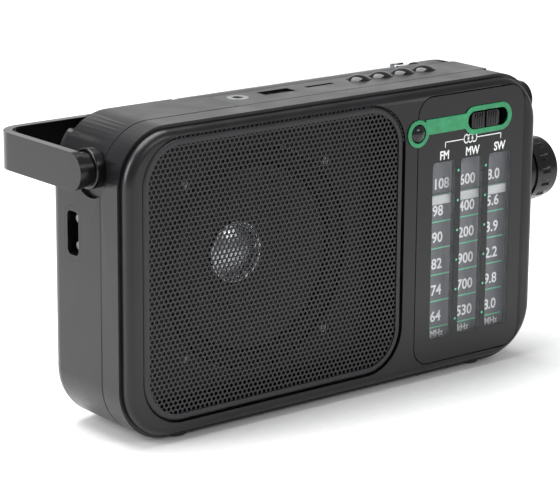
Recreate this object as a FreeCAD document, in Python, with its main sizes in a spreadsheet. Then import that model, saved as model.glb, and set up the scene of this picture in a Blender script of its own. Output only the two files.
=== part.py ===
"""Portable three-band shortwave receiver, built as a parametric FreeCAD document.

Sizes are in millimetres. X runs to the right across the front, Y runs from the front to
the back, Z is up. The origin is on the surface the feet stand on, under the middle of the
cabinet. In the expressions below, y counts from the front face and z from the underside of
the cabinet: place() moves both to the origin.
"""
import FreeCAD
import Part
import math
import os
import re

from FreeCAD import Rotation, Vector
from Sketcher import Constraint

SIZES = {
    # cabinet
    "cab_width": 173.4, "cab_height": 99.5, "cab_depth": 41.0, "cab_corner": 18.0,
    "cab_wall": 2.0, "foot_height": 1.0, "foot_radius": 4.0, "foot_inset_x": 24.0,
    "foot_inset_y": 8.0, "foot_recess": 0.6,
    "seam_y": 12.5, "front_wall": 3.0, "shoulder_y": 3.6, "shoulder_step": 1.2,
    "front_round": 3.0, "rear_round": 6.0, "boss_radius": 3.4, "boss_inset": 11.5,
    "boss_low": 10.0, "foot_screw_inset": 20.7, "foot_screw_z": 6.2,
    "screw_radius": 1.25, "screw_head": 2.6, "screw_sink": 3.0, "screw_bite": 7.0,
    "fit_gap": 0.05, "trim_gap": 0.35, "run_gap": 0.06, "soft_gap": 0.3,
    # speaker and its baffle
    "grille_left": -80.0, "grille_right": 25.7, "grille_low": 5.1, "grille_high": 96.15,
    "grille_corner": 15.0, "grille_sheet": 0.6, "grille_round": 1.2, "grille_seat": 1.8,
    "grille_ledge": 2.5, "baffle_y": 9.5, "baffle_sheet": 2.0, "rib_sheet": 1.6,
    "speaker_x": -28.5, "speaker_z": 49.75, "speaker_radius": 38.5, "speaker_flange": 1.0,
    "surround_inset": 2.1, "surround_roll": 2.9, "cone_inset": 8.5, "cone_depth": 9.5,
    "cone_sheet": 0.6, "dust_radius": 9.6, "dust_rise": 3.2, "dust_sheet": 0.5,
    "coil_radius": 9.2, "coil_sheet": 0.5, "coil_length": 8.5,
    "magnet_radius": 18.0, "magnet_length": 6.0, "plate_sheet": 2.4, "pole_radius": 8.0,
    "gap_radius": 9.9, "spider_radius": 21.0, "spider_sheet": 0.5, "spider_drop": 2.0,
    "basket_sheet": 1.0, "basket_depth": 15.5, "basket_foot": 22.0,
    # dial
    "panel_left": 31.0, "panel_right": 79.3, "panel_low": 4.2, "panel_high": 96.1,
    "panel_corner": 6.5, "panel_sheet": 2.0, "window_sheet": 1.2, "window_corner": 1.2,
    "window_low": 12.7, "window_high": 73.4, "window_left": 38.0, "window_width": 10.2,
    "window_pitch": 12.65, "window_frame": 2.0, "scale_y": 4.0, "scale_sheet": 0.8,
    "lamp_x": 31.0, "lamp_z": 84.3, "lamp_radius": 3.1, "ring_radius": 4.6,
    "trim_rise": 0.5, "trim_bar_low": 83.4, "trim_bar_high": 88.6, "slot_left": 53.0,
    "slot_right": 71.1, "slot_low": 82.8, "slot_high": 88.8, "slot_border": 1.8,
    "pointer_low": 59.8, "pointer_band": 3.0, "pointer_sheet": 0.8, "pointer_y": 2.5,
    # dial drive
    "cord_x": 80.2, "cord_radius": 0.25, "cord_y": 4.8, "rail_x": 77.9, "rail_radius": 0.8,
    "bracket_x": 76.0, "bracket_sheet": 1.2, "bracket_y": 8.8, "bracket_back": 34.0,
    "bracket_lift": 6.0, "bracket_high": 77.2, "bracket_leg": 16.0, "bracket_step": 25.0,
    "carriage_rise": 4.5, "carriage_drop": 0.2, "arm_right": 79.1,
    "pulley_radius": 2.2, "pulley_width": 1.8, "pulley_high": 70.2, "pulley_lift": 11.0, "pulley_y": 7.0,
    "axle_radius": 0.9, "drum_radius": 14.0, "drum_y": 22.6, "drum_z": 38.6,
    "drum_rim": 0.7, "gang_size": 20.0, "gang_length": 11.0, "gang_axle": 2.0,
    # tuning knob
    "knob_y": 12.5, "knob_z": 62.3, "knob_scoop": 12.7, "scoop_depth": 2.6,
    "scoop_wall": 1.8, "spindle_radius": 2.5, "spindle_groove": 4.0, "bush_radius": 4.4,
    "knob_skirt_radius": 10.6, "knob_skirt": 3.6, "knob_radius": 11.2, "knob_ring": 6.5,
    "knob_cap_radius": 10.5, "knob_cap": 4.0, "knob_round": 1.0, "knob_float": 0.5,
    "knob_notches": 15, "notch_width": 2.4, "notch_length": 4.2, "notch_depth": 0.8,
    "knob_bore_depth": 10.0,
    # boards, band switch and volume control
    "board_left": 30.0, "board_right": 71.0, "board_low": 10.5, "board_high": 92.0,
    "board_y": 8.4, "board_sheet": 1.6, "post_radius": 2.2, "post_inset": 2.64,
    "post_inset_low": 3.08, "post_over": 4.84, "board_screw": 0.9,
    "board_head": 1.8, "board_bite": 3.0, "chip_size": 10.0, "chip_rise": 1.4,
    "slider_left": 54.2, "slider_width": 12.4, "slider_rise": 0.9, "slider_notch": 0.8,
    "switch_low": 81.0, "switch_high": 90.6, "switch_y": 4.4, "slider_stem": 2.0,
    "slider_foot": 1.0, "slider_tongue": 1.0, "slider_travel": 3.3, "slider_margin": 0.3,
    "wheel_inset": 5.6, "wheel_y": 26.0, "wheel_z": 15.6, "wheel_radius": 7.0,
    "wheel_width": 3.0, "wheel_gap": 0.5, "wheel_axle": 1.5, "pot_size": 5.0, "pot_depth": 4.0,
    "volume_left": 8.1, "volume_right": 1.3, "volume_low": 11.0, "volume_high": 20.0,
    # top plate and its controls
    "top_left": -33.2, "top_right": 73.0, "top_front": 12.5, "top_back": 29.5,
    "top_sheet": 1.4, "top_corner": 1.6, "top_gap": 0.1, "row_y": 23.6,
    "jack_x": -25.4, "jack_radius": 3.6, "jack_bore": 1.75, "jack_length": 12.0,
    "jack_body": 4.4, "usb_x": -9.6, "usb_width": 13.2, "usb_depth": 5.8, "usb_wall": 0.4,
    "usb_length": 13.6, "tongue_sheet": 1.8, "charge_x": -7.4, "charge_y": 18.9,
    "charge_radius": 0.8, "card_x": 8.4, "card_width": 11.4, "card_slot": 1.8,
    "card_body": 13.6, "card_depth": 3.2, "card_length": 12.0, "button_first": 25.4,
    "button_pitch": 9.6, "button_radius": 4.2, "button_rise": 1.6, "button_rim": 1.4,
    "button_stem": 1.8, "button_travel": 0.6, "tact_size": 6.0, "tact_rise": 3.6,
    "media_left": -37.0, "media_right": 64.0, "media_front": 17.4, "media_back": 31.6,
    "media_z": 83.0, "media_sheet": 1.6, "media_post_front": 3.52, "media_post_back": 1.54,
    # mains inlet and power supply
    "inlet_y": 27.4, "inlet_z": 63.6, "inlet_width": 9.3, "inlet_height": 17.3,
    "inlet_wall": 1.6, "inlet_depth": 12.0, "inlet_corner": 3.4, "inlet_base": 2.0,
    "pin_pitch": 8.6, "pin_radius": 1.2, "pin_length": 8.0,
    "core_left": -70.5, "core_width": 23.0, "core_low": 5.6, "core_height": 19.0,
    "core_front": 22.0, "core_stack": 14.0, "winding_swell": 2.4, "core_limb": 3.8,
    "supply_left": -80.0, "supply_right": -50.0, "supply_low": 27.0, "supply_high": 50.0,
    "supply_y": 34.0, "can_radius": 3.6, "can_length": 8.0,
    # ferrite aerial
    "rod_left": -46.0, "rod_right": 2.0, "rod_radius": 4.0, "rod_y": 20.5, "rod_z": 8.6,
    "rod_coil": 22.0, "rod_coil_wall": 1.0, "rod_holder": 4.0,
    # battery bay
    "bay_left": 5.0, "bay_right": 60.0, "bay_low": 9.5, "cell_radius": 7.1,
    "cell_length": 48.2, "cell_gap": 0.4, "cell_count": 3, "cell_tip": 2.7, "cell_nub": 1.2,
    "spring_wide": 4.0, "spring_narrow": 2.0,
    "bay_wall": 1.4, "door_sheet": 2.0, "door_gap": 0.35, "hinge_radius": 1.0,
    "trunnion_radius": 0.6, "trunnion_length": 1.2, "contact_sheet": 0.5,
    # carrying handle
    "pivot_y": 17.5, "pivot_z": 86.0, "handle_width": 12.0, "handle_sheet": 2.9,
    "handle_reach": 43.0, "handle_clear": 7.6, "handle_corner": 9.0, "hub_radius": 6.4,
    "hub_scoop": 9.4, "hub_scoop_depth": 1.4, "hub_length": 3.2, "handle_boss": 5.4,
    "pivot_radius": 2.5, "pivot_inside": 2.6, "clip_radius": 3.2, "clip_sheet": 1.0,
    # telescopic antenna
    "mast_x": 55.0, "mast_y": 37.0, "mast_z": 96.3, "channel_front": 33.0,
    "channel_floor": 92.6, "channel_left": -44.0, "channel_right": 60.5,
    "tube_radius": 2.4, "tube_wall": 0.35, "tube_gap": 0.06, "tube_length": 84.0,
    "tube_start": 7.0, "tip_length": 3.4, "tip_radius": 2.4,
    "tip_sheet": 1.2, "fork_radius": 3.3, "fork_low": 86.0, "fork_slot": 2.4,
    "knuckle_radius": 2.2, "fork_pin": 0.8,
    "groove_half": 2.7, "fork_collar": 0.8, "fork_journal": 2.2,
}

doc = FreeCAD.newDocument("receiver")
sheet = doc.addObject("Spreadsheet::Sheet", "Sizes")
for row, (alias, size) in enumerate(SIZES.items(), 1):
    sheet.set("A%d" % row, alias)
    sheet.set("B%d" % row, str(size))
    sheet.setAlias("B%d" % row, alias)
doc.recompute()

NODES = []


# --- helpers -----------------------------------------------------------------------------

def expr(text):
    """Name the sheet in front of each of its cells in an expression."""
    return re.sub(r"[a-z]+(?:_[a-z]+)+",
                  lambda m: "Sizes." + m.group(0) if m.group(0) in SIZES else m.group(0),
                  str(text))


def num(text):
    """The present value of an expression on the sheet."""
    value = sheet.evalExpression(expr(text))
    return getattr(value, "Value", value)


def bind(obj, prop, text):
    obj.setExpression(prop, expr(text))


def place(obj, x, y, z, turn=None):
    """Put an object at x, y from the front face and z from the cabinet's underside."""
    if turn is not None:
        obj.Placement.Rotation = turn
    bind(obj, "Placement.Base.x", x)
    bind(obj, "Placement.Base.y", "(%s) - cab_depth / 2" % y)
    bind(obj, "Placement.Base.z", "(%s) + foot_height" % z)
    return obj


TURN = {"x": Rotation(Vector(0, 1, 0), 90), "y": Rotation(Vector(1, 0, 0), -90),
        "z": Rotation()}


def box(name, x, y, z):
    """A block between two planes each way."""
    block = doc.addObject("Part::Box", name)
    bind(block, "Length", "(%s) - (%s)" % (x[1], x[0]))
    bind(block, "Width", "(%s) - (%s)" % (y[1], y[0]))
    bind(block, "Height", "(%s) - (%s)" % (z[1], z[0]))
    return place(block, x[0], y[0], z[0])


def cylinder(name, along, radius, x, y, z):
    """A round bar: the coordinate along its axis is a pair, the two others are its centre."""
    spans = {"x": x, "y": y, "z": z}
    low, high = spans[along]
    spans[along] = low
    bar = doc.addObject("Part::Cylinder", name)
    bind(bar, "Radius", radius)
    bind(bar, "Height", "(%s) - (%s)" % (high, low))
    return place(bar, spans["x"], spans["y"], spans["z"], TURN[along])


def taper(name, along, radii, x, y, z):
    """A cone or a cone frustum, given as a cylinder is."""
    spans = {"x": x, "y": y, "z": z}
    low, high = spans[along]
    spans[along] = low
    bar = doc.addObject("Part::Cone", name)
    bind(bar, "Radius1", radii[0])
    bind(bar, "Radius2", radii[1])
    bind(bar, "Height", "(%s) - (%s)" % (high, low))
    return place(bar, spans["x"], spans["y"], spans["z"], TURN[along])


def ball(name, radius, x, y, z):
    sphere = doc.addObject("Part::Sphere", name)
    bind(sphere, "Radius", radius)
    return place(sphere, x, y, z)


def torus(name, along, ring, section, x, y, z):
    hoop = doc.addObject("Part::Torus", name)
    bind(hoop, "Radius1", ring)
    bind(hoop, "Radius2", section)
    return place(hoop, x, y, z, TURN[along])


def fuse(name, *parts):
    joined = doc.addObject("Part::MultiFuse", name)
    joined.Shapes = list(parts)
    return joined


def cut(name, base, *tools):
    whole = doc.addObject("Part::Cut", name)
    whole.Base = base
    whole.Tool = tools[0] if len(tools) == 1 else fuse(name + "_cutters", *tools)
    return whole


def common(name, first, second):
    both = doc.addObject("Part::MultiCommon", name)
    both.Shapes = [first, second]
    return both


def group(name, parts):
    """Identical loose pieces, kept as separate solids in one node."""
    bunch = doc.addObject("Part::Compound", name)
    bunch.Links = list(parts)
    return bunch


def node(name, obj):
    """Make an object a sub-part: its label names its file."""
    obj.Label = name
    NODES.append(obj)
    return obj


def body_plane(body, role):
    return [f for f in body.Origin.OriginFeatures if f.Role == role][0]


def sketch_on(body, name, height="0"):
    """A sketch parallel to the body's XY plane, at a height along its axis."""
    sketch = body.newObject("Sketcher::SketchObject", name)
    sketch.AttachmentSupport = [(body_plane(body, "XY_Plane"), "")]
    sketch.MapMode = "FlatFace"
    bind(sketch, "AttachmentOffset.Base.z", height)
    return sketch


def draw_rounded(sketch, width, height, corner):
    """A rectangle with round corners, centred on the sketch's origin."""
    half_w, half_h, r = num(width) / 2, num(height) / 2, num(corner)
    ends = [((r - half_w, -half_h), (half_w - r, -half_h)),
            ((half_w, r - half_h), (half_w, half_h - r)),
            ((half_w - r, half_h), (r - half_w, half_h)),
            ((-half_w, half_h - r), (-half_w, r - half_h))]
    for start, end in ends:
        sketch.addGeometry(Part.LineSegment(Vector(*start), Vector(*end)))
    centres = [(half_w - r, r - half_h), (half_w - r, half_h - r),
               (r - half_w, half_h - r), (r - half_w, r - half_h)]
    for quarter, centre in enumerate(centres):
        circle = Part.Circle(Vector(*centre), Vector(0, 0, 1), r)
        start = (quarter - 1) * math.pi / 2
        sketch.addGeometry(Part.ArcOfCircle(circle, start, start + math.pi / 2))
    for side in range(4):
        arc, after = 4 + side, (side + 1) % 4
        sketch.addConstraint(Constraint("Tangent", side, 2, arc, 1))
        sketch.addConstraint(Constraint("Tangent", arc, 2, after, 1))
    for side, way in enumerate(("Horizontal", "Vertical", "Horizontal", "Vertical")):
        sketch.addConstraint(Constraint(way, side))
    for arc in (5, 6, 7):
        sketch.addConstraint(Constraint("Equal", 4, arc))
    sketch.addConstraint(Constraint("Symmetric", 4, 3, 6, 3, -1, 1))
    for name, rule, text in (("width", ("DistanceX", 3, 1, 1, 1, half_w * 2), width),
                             ("height", ("DistanceY", 0, 1, 2, 1, half_h * 2), height),
                             ("corner", ("Radius", 4, r), corner)):
        index = sketch.addConstraint(Constraint(*rule))
        sketch.renameConstraint(index, name)
        bind(sketch, "Constraints." + name, text)


def draw_circle(sketch, radius, x="0", y="0"):
    centre = Vector(num(x), num(y))
    sketch.addGeometry(Part.Circle(centre, Vector(0, 0, 1), num(radius)))
    index = sketch.addConstraint(Constraint("Radius", 0, num(radius)))
    sketch.renameConstraint(index, "radius")
    bind(sketch, "Constraints.radius", radius)
    if (x, y) == ("0", "0"):
        sketch.addConstraint(Constraint("Coincident", 0, 3, -1, 1))
        return
    for name, way, text in (("across", "DistanceX", x), ("up", "DistanceY", y)):
        index = sketch.addConstraint(Constraint(way, -1, 1, 0, 3, num(text)))
        sketch.renameConstraint(index, name)
        bind(sketch, "Constraints." + name, text)


def pad(body, sketch, length):
    """Raise a sketch along the body's axis."""
    raised = body.newObject("PartDesign::Pad", sketch.Label + "_pad")
    raised.Profile = sketch
    bind(raised, "Length", length)
    sketch.Visibility = False
    return raised


def pocket(body, sketch, length):
    """Sink a sketch along the body's axis, towards its foot."""
    sunk = body.newObject("PartDesign::Pocket", sketch.Label + "_pocket")
    sunk.Profile = sketch
    bind(sunk, "Length", length)
    return sunk


def end_face(feature, upper):
    """The name of the flat face at one end of a feature, across its body's axis."""
    best = None
    for index, face in enumerate(feature.Shape.Faces, 1):
        if face.Surface.TypeId != "Part::GeomPlane":
            continue
        height = face.CenterOfMass.z
        if abs(abs(face.normalAt(0, 0).z) - 1) > 1e-6:
            continue
        if best is None or (height > best[0] if upper else height < best[0]):
            best = (height, "Face%d" % index)
    return best[1]


def round_end(body, feature, radius, upper=False):
    """Round the edges of the flat face at one end."""
    doc.recompute()
    fillet = body.newObject("PartDesign::Fillet", feature.Label + "_round")
    fillet.Base = (feature, [end_face(feature, upper)])
    bind(fillet, "Radius", radius)
    return fillet


def slab(name, along, x, y, z, corner, rounding=None, upper=False):
    """A plate with round corners between two planes each way, seen along one axis."""
    spans = {"x": x, "y": y, "z": z}
    sides = {"x": ("z", "y"), "y": ("x", "z"), "z": ("x", "y")}[along]
    size = {key: "(%s) - (%s)" % (span[1], span[0]) for key, span in spans.items()}
    centre = {key: "((%s) + (%s)) / 2" % span for key, span in spans.items()}
    centre[along] = spans[along][0]
    body = doc.addObject("PartDesign::Body", name)
    sketch = sketch_on(body, name + "_outline")
    draw_rounded(sketch, size[sides[0]], size[sides[1]], corner)
    raised = pad(body, sketch, size[along])
    if rounding is not None:
        round_end(body, raised, rounding, upper)
    return place(body, centre["x"], centre["y"], centre["z"], TURN[along])


def between(low, high, inset="0"):
    """A span, drawn in from both of its ends."""
    return "(%s) + (%s)" % (low, inset), "(%s) - (%s)" % (high, inset)


def across(inset="0"):
    """The cabinet's width, drawn in from both sides."""
    return between("-cab_width / 2", "cab_width / 2", inset)


def upright(inset="0"):
    """The cabinet's height, drawn in from both ends."""
    return between("0", "cab_height", inset)


# --- shared shapes -----------------------------------------------------------------------

def scoop(side, tag):
    """The round dish that the carrying handle's hub sits in."""
    face = "%s * cab_width / 2" % side
    floor = "%s * (cab_width / 2 - hub_scoop_depth)" % side
    span = (floor, face + " + 2") if side > 0 else (face + " - 2", floor)
    return cylinder("hub_scoop_" + tag, "x", "hub_scoop", span, "pivot_y", "pivot_z")


def knob_scoop(tag):
    """The deeper dish behind the tuning knob, open through the front edge."""
    floor = "cab_width / 2 - scoop_depth"
    return cylinder("knob_scoop_" + tag, "x", "knob_scoop", (floor, "cab_width / 2 + 2"),
                    "knob_y", "knob_z")


def knob_boss(tag, y):
    """Metal left behind the knob's dish, on one side of the seam."""
    outer = "cab_width / 2 - scoop_depth"
    disc = cylinder("knob_boss_disc_" + tag, "x", "knob_scoop + scoop_wall",
                    (outer + " - scoop_wall", outer + " + scoop_wall / 2"), "knob_y", "knob_z")
    zone = box("knob_boss_zone_" + tag, ("cab_width / 2 - cab_width / 8", "cab_width / 2"),
               y, ("knob_z - knob_scoop * 2", "knob_z + knob_scoop * 2"))
    return common("knob_boss_" + tag, disc, zone)


def bush_hole(tag):
    return cylinder("bush_hole_" + tag, "x", "bush_radius + fit_gap",
                    ("cab_width / 2 - scoop_depth - scoop_wall - 3", "cab_width / 2"),
                    "knob_y", "knob_z")


def pilot(name, along, x, y, z, wide="fit_gap"):
    """A hole for a small board screw."""
    return cylinder(name, along, "board_screw + " + wide, x, y, z)


SCREW_PLACES = [("left_low", "boss_inset - cab_width / 2", "boss_low"),
                ("right_low", "cab_width / 2 - foot_screw_inset", "foot_screw_z"),
                ("left_high", "boss_inset - cab_width / 2", "cab_height - boss_low"),
                ("right_high", "cab_width / 2 - boss_inset", "cab_height - boss_low")]
BOARD_POSTS = [("left_low", "board_left + post_inset", "board_low + post_inset_low"),
               ("left_high", "board_left + post_inset", "window_high + post_over"),
               ("middle", "window_left + window_pitch", "window_high + post_over"),
               ("right", "board_right - post_inset", "window_high + post_over")]
SUPPLY_POSTS = [("left", "supply_left + post_inset_low", "supply_low + post_inset_low"),
                ("right", "supply_right - post_inset_low", "supply_high - post_inset_low")]
MEDIA_POSTS = [("left_front", "media_left + post_inset", "media_front + media_post_front"),
               ("left_back", "media_left + post_inset", "media_back - post_inset"),
               ("right_back", "media_right - post_inset", "media_back - media_post_back")]
FEET = [(side + end, sign + " * (cab_width / 2 - foot_inset_x)", y)
        for side, sign in (("left", "-1"), ("right", "1"))
        for end, y in (("_front", "foot_inset_y"), ("_back", "cab_depth - foot_inset_y"))]
SPEAKER_REACH = "(speaker_radius + screw_radius + fit_gap) * sqrt(0.5)"
SPEAKER_SCREWS = [(side + end, "speaker_x + %s * %s" % (across_sign, SPEAKER_REACH),
                   "speaker_z + %s * %s" % (up_sign, SPEAKER_REACH))
                  for side, across_sign in (("left", "-1"), ("right", "1"))
                  for end, up_sign in (("_low", "-1"), ("_high", "1"))]
WHEEL_X = "cab_width / 2 - wheel_inset"
SURROUND = "(speaker_radius - surround_inset)"
CONE = "(speaker_radius - cone_inset)"
BUTTONS = [("previous", 0), ("play", 1), ("next", 2), ("mode", 3)]


def button_x(index):
    return "button_first + %d * button_pitch" % index


# --- cabinet -----------------------------------------------------------------------------

def front_cabinet():
    inset = "cab_wall + shoulder_step"
    blank = fuse(
        "front_blank",
        slab("front_skirt", "y", across(), ("shoulder_y", "seam_y"), upright(), "cab_corner"),
        slab("front_block", "y", across("shoulder_step"), ("0", "shoulder_y + fit_gap"),
             upright("shoulder_step"), "cab_corner - shoulder_step", "front_round"))
    hollow = slab("front_hollow", "y", across(inset), ("front_wall", "seam_y + 1"),
                  upright(inset), "cab_corner - " + inset.replace("+", "-"))
    shell = cut("front_shell", blank, hollow)
    chamber_right = "grille_right + rib_sheet * 2"
    inside = [
        box("baffle", ("-cab_width / 2 + cab_wall", chamber_right),
            ("baffle_y", "baffle_y + baffle_sheet"), upright("cab_wall")),
        box("chamber_wall", ("grille_right + rib_sheet", chamber_right),
            ("front_wall - fit_gap", "seam_y"), upright("cab_wall")),
        knob_boss("front", ("front_wall", "seam_y"))]
    for tag, x, z in SCREW_PLACES:
        inside.append(cylinder("front_boss_" + tag, "y", "boss_radius", x,
                               ("front_wall - fit_gap", "seam_y"), z))
    for tag, x, z in BOARD_POSTS:
        inside.append(cylinder("board_post_" + tag, "y", "post_radius", x,
                               ("front_wall - fit_gap", "board_y"), z))
    trimmed = common("front_inside", fuse("front_ribs", *inside),
                     slab("front_trim", "y", across("cab_wall"), ("shoulder_y - 1", "seam_y"),
                          upright("cab_wall"), "cab_corner - cab_wall"))
    openings = [
        slab("grille_recess", "y", ("grille_left", "grille_right"), ("-1", "grille_seat"),
             ("grille_low", "grille_high"), "grille_corner"),
        slab("sound_opening", "y", between("grille_left", "grille_right", "grille_ledge"),
             ("-1", "front_wall + 1"), between("grille_low", "grille_high", "grille_ledge"),
             "grille_corner - grille_ledge"),
        cylinder("speaker_hole", "y", SURROUND + " + trim_gap", "speaker_x",
                 ("baffle_y - 1", "seam_y + 1"), "speaker_z"),
        slab("panel_recess", "y", ("panel_left", "panel_right"), ("-1", "panel_sheet"),
             ("panel_low", "panel_high"), "panel_corner"),
        box("dial_opening", ("window_left - window_frame", "rail_x + rail_radius"),
            ("0", "front_wall + 1"),
            ("window_low - window_frame", "window_high + window_frame")),
        box("slider_opening", ("slot_left", "slot_right"), ("0", "front_wall + 1"),
            ("slot_low", "slot_high")),
        cylinder("lamp_hole", "y", "lamp_radius + fit_gap", "lamp_x",
                 ("-1", "front_wall + 1"), "lamp_z"),
        scoop(-1, "front_left"), scoop(1, "front_right"), knob_scoop("front"),
        bush_hole("front")]
    for tag, x, z in SCREW_PLACES:
        openings.append(cylinder("screw_pilot_" + tag, "y", "screw_radius + fit_gap", x,
                                 ("seam_y - screw_bite", "seam_y + 1"), z))
    for tag, x, z in SPEAKER_SCREWS:
        openings.append(cylinder("speaker_pilot_" + tag, "y", "screw_radius + fit_gap", x,
                                 ("baffle_y", "seam_y + 1"), z))
    for tag, x, y in FEET:
        openings.append(cylinder("front_foot_seat_" + tag, "z", "foot_radius + fit_gap", x, y,
                                 ("-1", "foot_recess")))
    openings += [pilot("board_pilot_" + tag, "y", x, ("board_y - board_bite", "board_y + 1"), z)
                 for tag, x, z in BOARD_POSTS]
    return node("front_cabinet", cut("front_cabinet_cut", fuse("front_body", shell, trimmed),
                                     *openings))


def rear_cabinet():
    blank = slab("rear_blank", "y", across(), ("seam_y", "cab_depth"), upright(),
                 "cab_corner", "rear_round", upper=True)
    hollow = slab("rear_hollow", "y", across("cab_wall"),
                  ("seam_y - 1", "cab_depth - cab_wall"), upright("cab_wall"),
                  "cab_corner - cab_wall", "rear_round - cab_wall", upper=True)
    shell = cut("rear_shell", blank, hollow)
    bay_front = "cab_depth - door_sheet - cell_radius * 2 - cell_gap * 2 - bay_wall"
    bay_high = "bay_low + cell_count * (cell_radius * 2 + cell_gap)"
    inside = [
        knob_boss("rear", ("seam_y", "knob_y + knob_scoop * 2")),
        box("bay_block", between("bay_left", "bay_right", "-bay_wall"),
            (bay_front, "cab_depth - cab_wall / 2"), ("bay_low - bay_wall", bay_high + " + bay_wall")),
        box("channel_block", between("channel_left", "channel_right", "-cab_wall"),
            ("channel_front - cab_wall", "cab_depth - cab_wall / 2"),
            ("channel_floor - cab_wall", "cab_height - cab_wall / 2")),
        cylinder("volume_post", "y", "post_radius", WHEEL_X + " - volume_left / 2",
                 ("wheel_y + wheel_width + wheel_gap + pot_depth + board_sheet",
                  "cab_depth - cab_wall / 2"), "wheel_z"),
        box("groove_block", ("-cab_width / 2", "channel_left"),
            ("mast_y - groove_half - cab_wall", "cab_depth"),
            ("mast_z - groove_half - cab_wall", "cab_height")),
        box("core_rest_left", ("core_left + rib_sheet", "core_left + rib_sheet * 2"),
            between("core_front", "core_front + core_stack", "rib_sheet"),
            ("cab_wall / 2", "core_low")),
        box("core_rest_right", ("core_left + core_width - rib_sheet * 2",
                                "core_left + core_width - rib_sheet"),
            between("core_front", "core_front + core_stack", "rib_sheet"),
            ("cab_wall / 2", "core_low")),
        cylinder("mast_boss", "z", "fork_radius + cab_wall", "mast_x", "mast_y - 0.3",
                 ("fork_low - fit_gap", "channel_floor"))]
    for tag, x, z in SCREW_PLACES:
        inside.append(cylinder("rear_boss_" + tag, "y", "boss_radius", x,
                               ("seam_y", "cab_depth - cab_wall / 2"), z))
    for tag, start in (("left", "rod_left + rod_holder"), ("right", "rod_right - rod_holder * 2")):
        inside.append(box("rod_saddle_" + tag, (start, start + " + rod_holder"),
                          between("rod_y", "rod_y", "-rod_radius * 1.4"),
                          ("cab_wall / 2", "rod_z + rod_radius / 4")))
    for side, tag in ((-1, "left"), (1, "right")):
        inner = "%s * (cab_width / 2 - hub_scoop_depth - pivot_inside)" % side
        outer = "%s * (cab_width / 2 - cab_wall / 2)" % side
        inside.append(cylinder("pivot_boss_" + tag, "x", "handle_boss",
                               (outer, inner) if side < 0 else (inner, outer),
                               "pivot_y", "pivot_z"))
    for tag, x, z in SUPPLY_POSTS:
        inside.append(cylinder("supply_post_" + tag, "y", "post_radius", x,
                               ("supply_y + board_sheet", "cab_depth - cab_wall / 2"), z))
    for tag, x, y in MEDIA_POSTS:
        inside.append(cylinder("media_post_" + tag, "z", "post_radius", x, y,
                               ("media_z + media_sheet", "cab_height - cab_wall / 2")))
    trimmed = common("rear_inside", fuse("rear_ribs", *inside),
                     slab("rear_trim", "y", across("cab_wall / 2"),
                          ("seam_y", "cab_depth - cab_wall / 2"), upright("cab_wall / 2"),
                          "cab_corner - cab_wall / 2", "rear_round - cab_wall / 2",
                          upper=True))
    openings = [
        cylinder("rod_seats", "x", "rod_radius + fit_gap", between("rod_left", "rod_right", "-1"),
                 "rod_y", "rod_z"),
        box("bay_room", ("bay_left", "bay_right"), (bay_front + " + bay_wall", "cab_depth + 1"),
            ("bay_low", bay_high)),
        cylinder("trunnion_bore", "x", "trunnion_radius + run_gap",
                 ("bay_left - trunnion_length - fit_gap", "bay_right + trunnion_length + fit_gap"),
                 "cab_depth - door_sheet / 2", "bay_low + hinge_radius + door_gap"),
        box("antenna_channel", ("channel_left", "channel_right"),
            ("channel_front", "cab_depth + 1"), ("channel_floor", "cab_height + 1")),
        box("antenna_groove", ("-cab_width / 2 - 1", "channel_left + 1"),
            between("mast_y", "mast_y", "-groove_half"),
            ("mast_z - groove_half", "cab_height + 1")),
        cylinder("mast_bore", "z", "fork_journal + run_gap", "mast_x", "mast_y",
                 ("fork_low - 1", "channel_floor + 1")),
        cylinder("mast_relief", "z", "fork_radius + run_gap", "mast_x", "mast_y",
                 ("fork_low - fork_collar * 2", "fork_low")),
        slab("top_recess", "z", ("top_left", "top_right"), ("top_front - 2", "top_back"),
             ("cab_height - top_sheet", "cab_height + 1"), "top_corner"),
        box("controls_opening", between("top_left", "top_right", "top_sheet * 2"),
            ("top_front + top_sheet", "top_back - top_sheet"),
            ("cab_height - cab_wall - 1", "cab_height")),
        slab("inlet_opening", "x", ("-cab_width / 2 - 1", "-cab_width / 2 + cab_wall + 1"),
             between("inlet_y - inlet_width / 2", "inlet_y + inlet_width / 2"),
             between("inlet_z - inlet_height / 2", "inlet_z + inlet_height / 2"),
             "inlet_corner"),
        slab("wheel_slot", "x", ("cab_width / 2 - cab_wall * 3", "cab_width / 2 + 1"),
             ("wheel_y - wheel_gap", "wheel_y + wheel_width + wheel_gap"),
             between("wheel_z - wheel_radius", "wheel_z + wheel_radius", "-wheel_gap"),
             "wheel_gap"),
        scoop(-1, "rear_left"), scoop(1, "rear_right"), knob_scoop("rear"), bush_hole("rear")]
    for side, tag in ((-1, "left"), (1, "right")):
        span = across()
        ends = (span[0] + " - 1", span[0] + " + cab_wall * 3") if side < 0 else (
            span[1] + " - cab_wall * 3", span[1] + " + 1")
        openings.append(cylinder("pivot_bore_" + tag, "x", "pivot_radius + run_gap", ends,
                                 "pivot_y", "pivot_z"))
    for tag, x, z in SCREW_PLACES:
        openings.append(cylinder("screw_shaft_" + tag, "y", "screw_radius + fit_gap", x,
                                 ("seam_y - 1", "cab_depth"), z))
        openings.append(cylinder("screw_well_" + tag, "y", "screw_head + fit_gap", x,
                                 ("cab_depth - screw_sink", "cab_depth + 1"), z))
    for tag, x, y in FEET:
        openings.append(cylinder("foot_seat_" + tag, "z", "foot_radius + fit_gap", x, y,
                                 ("-1", "foot_recess")))
    supply_back = "supply_y + board_sheet"
    media_top = "media_z + media_sheet"
    openings += [pilot("supply_pilot_" + tag, "y", x,
                       (supply_back + " - 1", supply_back + " + board_bite"), z)
                 for tag, x, z in SUPPLY_POSTS]
    openings += [pilot("media_pilot_" + tag, "z", x, y,
                       (media_top + " - 1", media_top + " + board_bite"))
                 for tag, x, y in MEDIA_POSTS]
    return node("rear_cabinet", cut("rear_cabinet_cut", fuse("rear_body", shell, trimmed),
                                    *openings))


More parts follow.
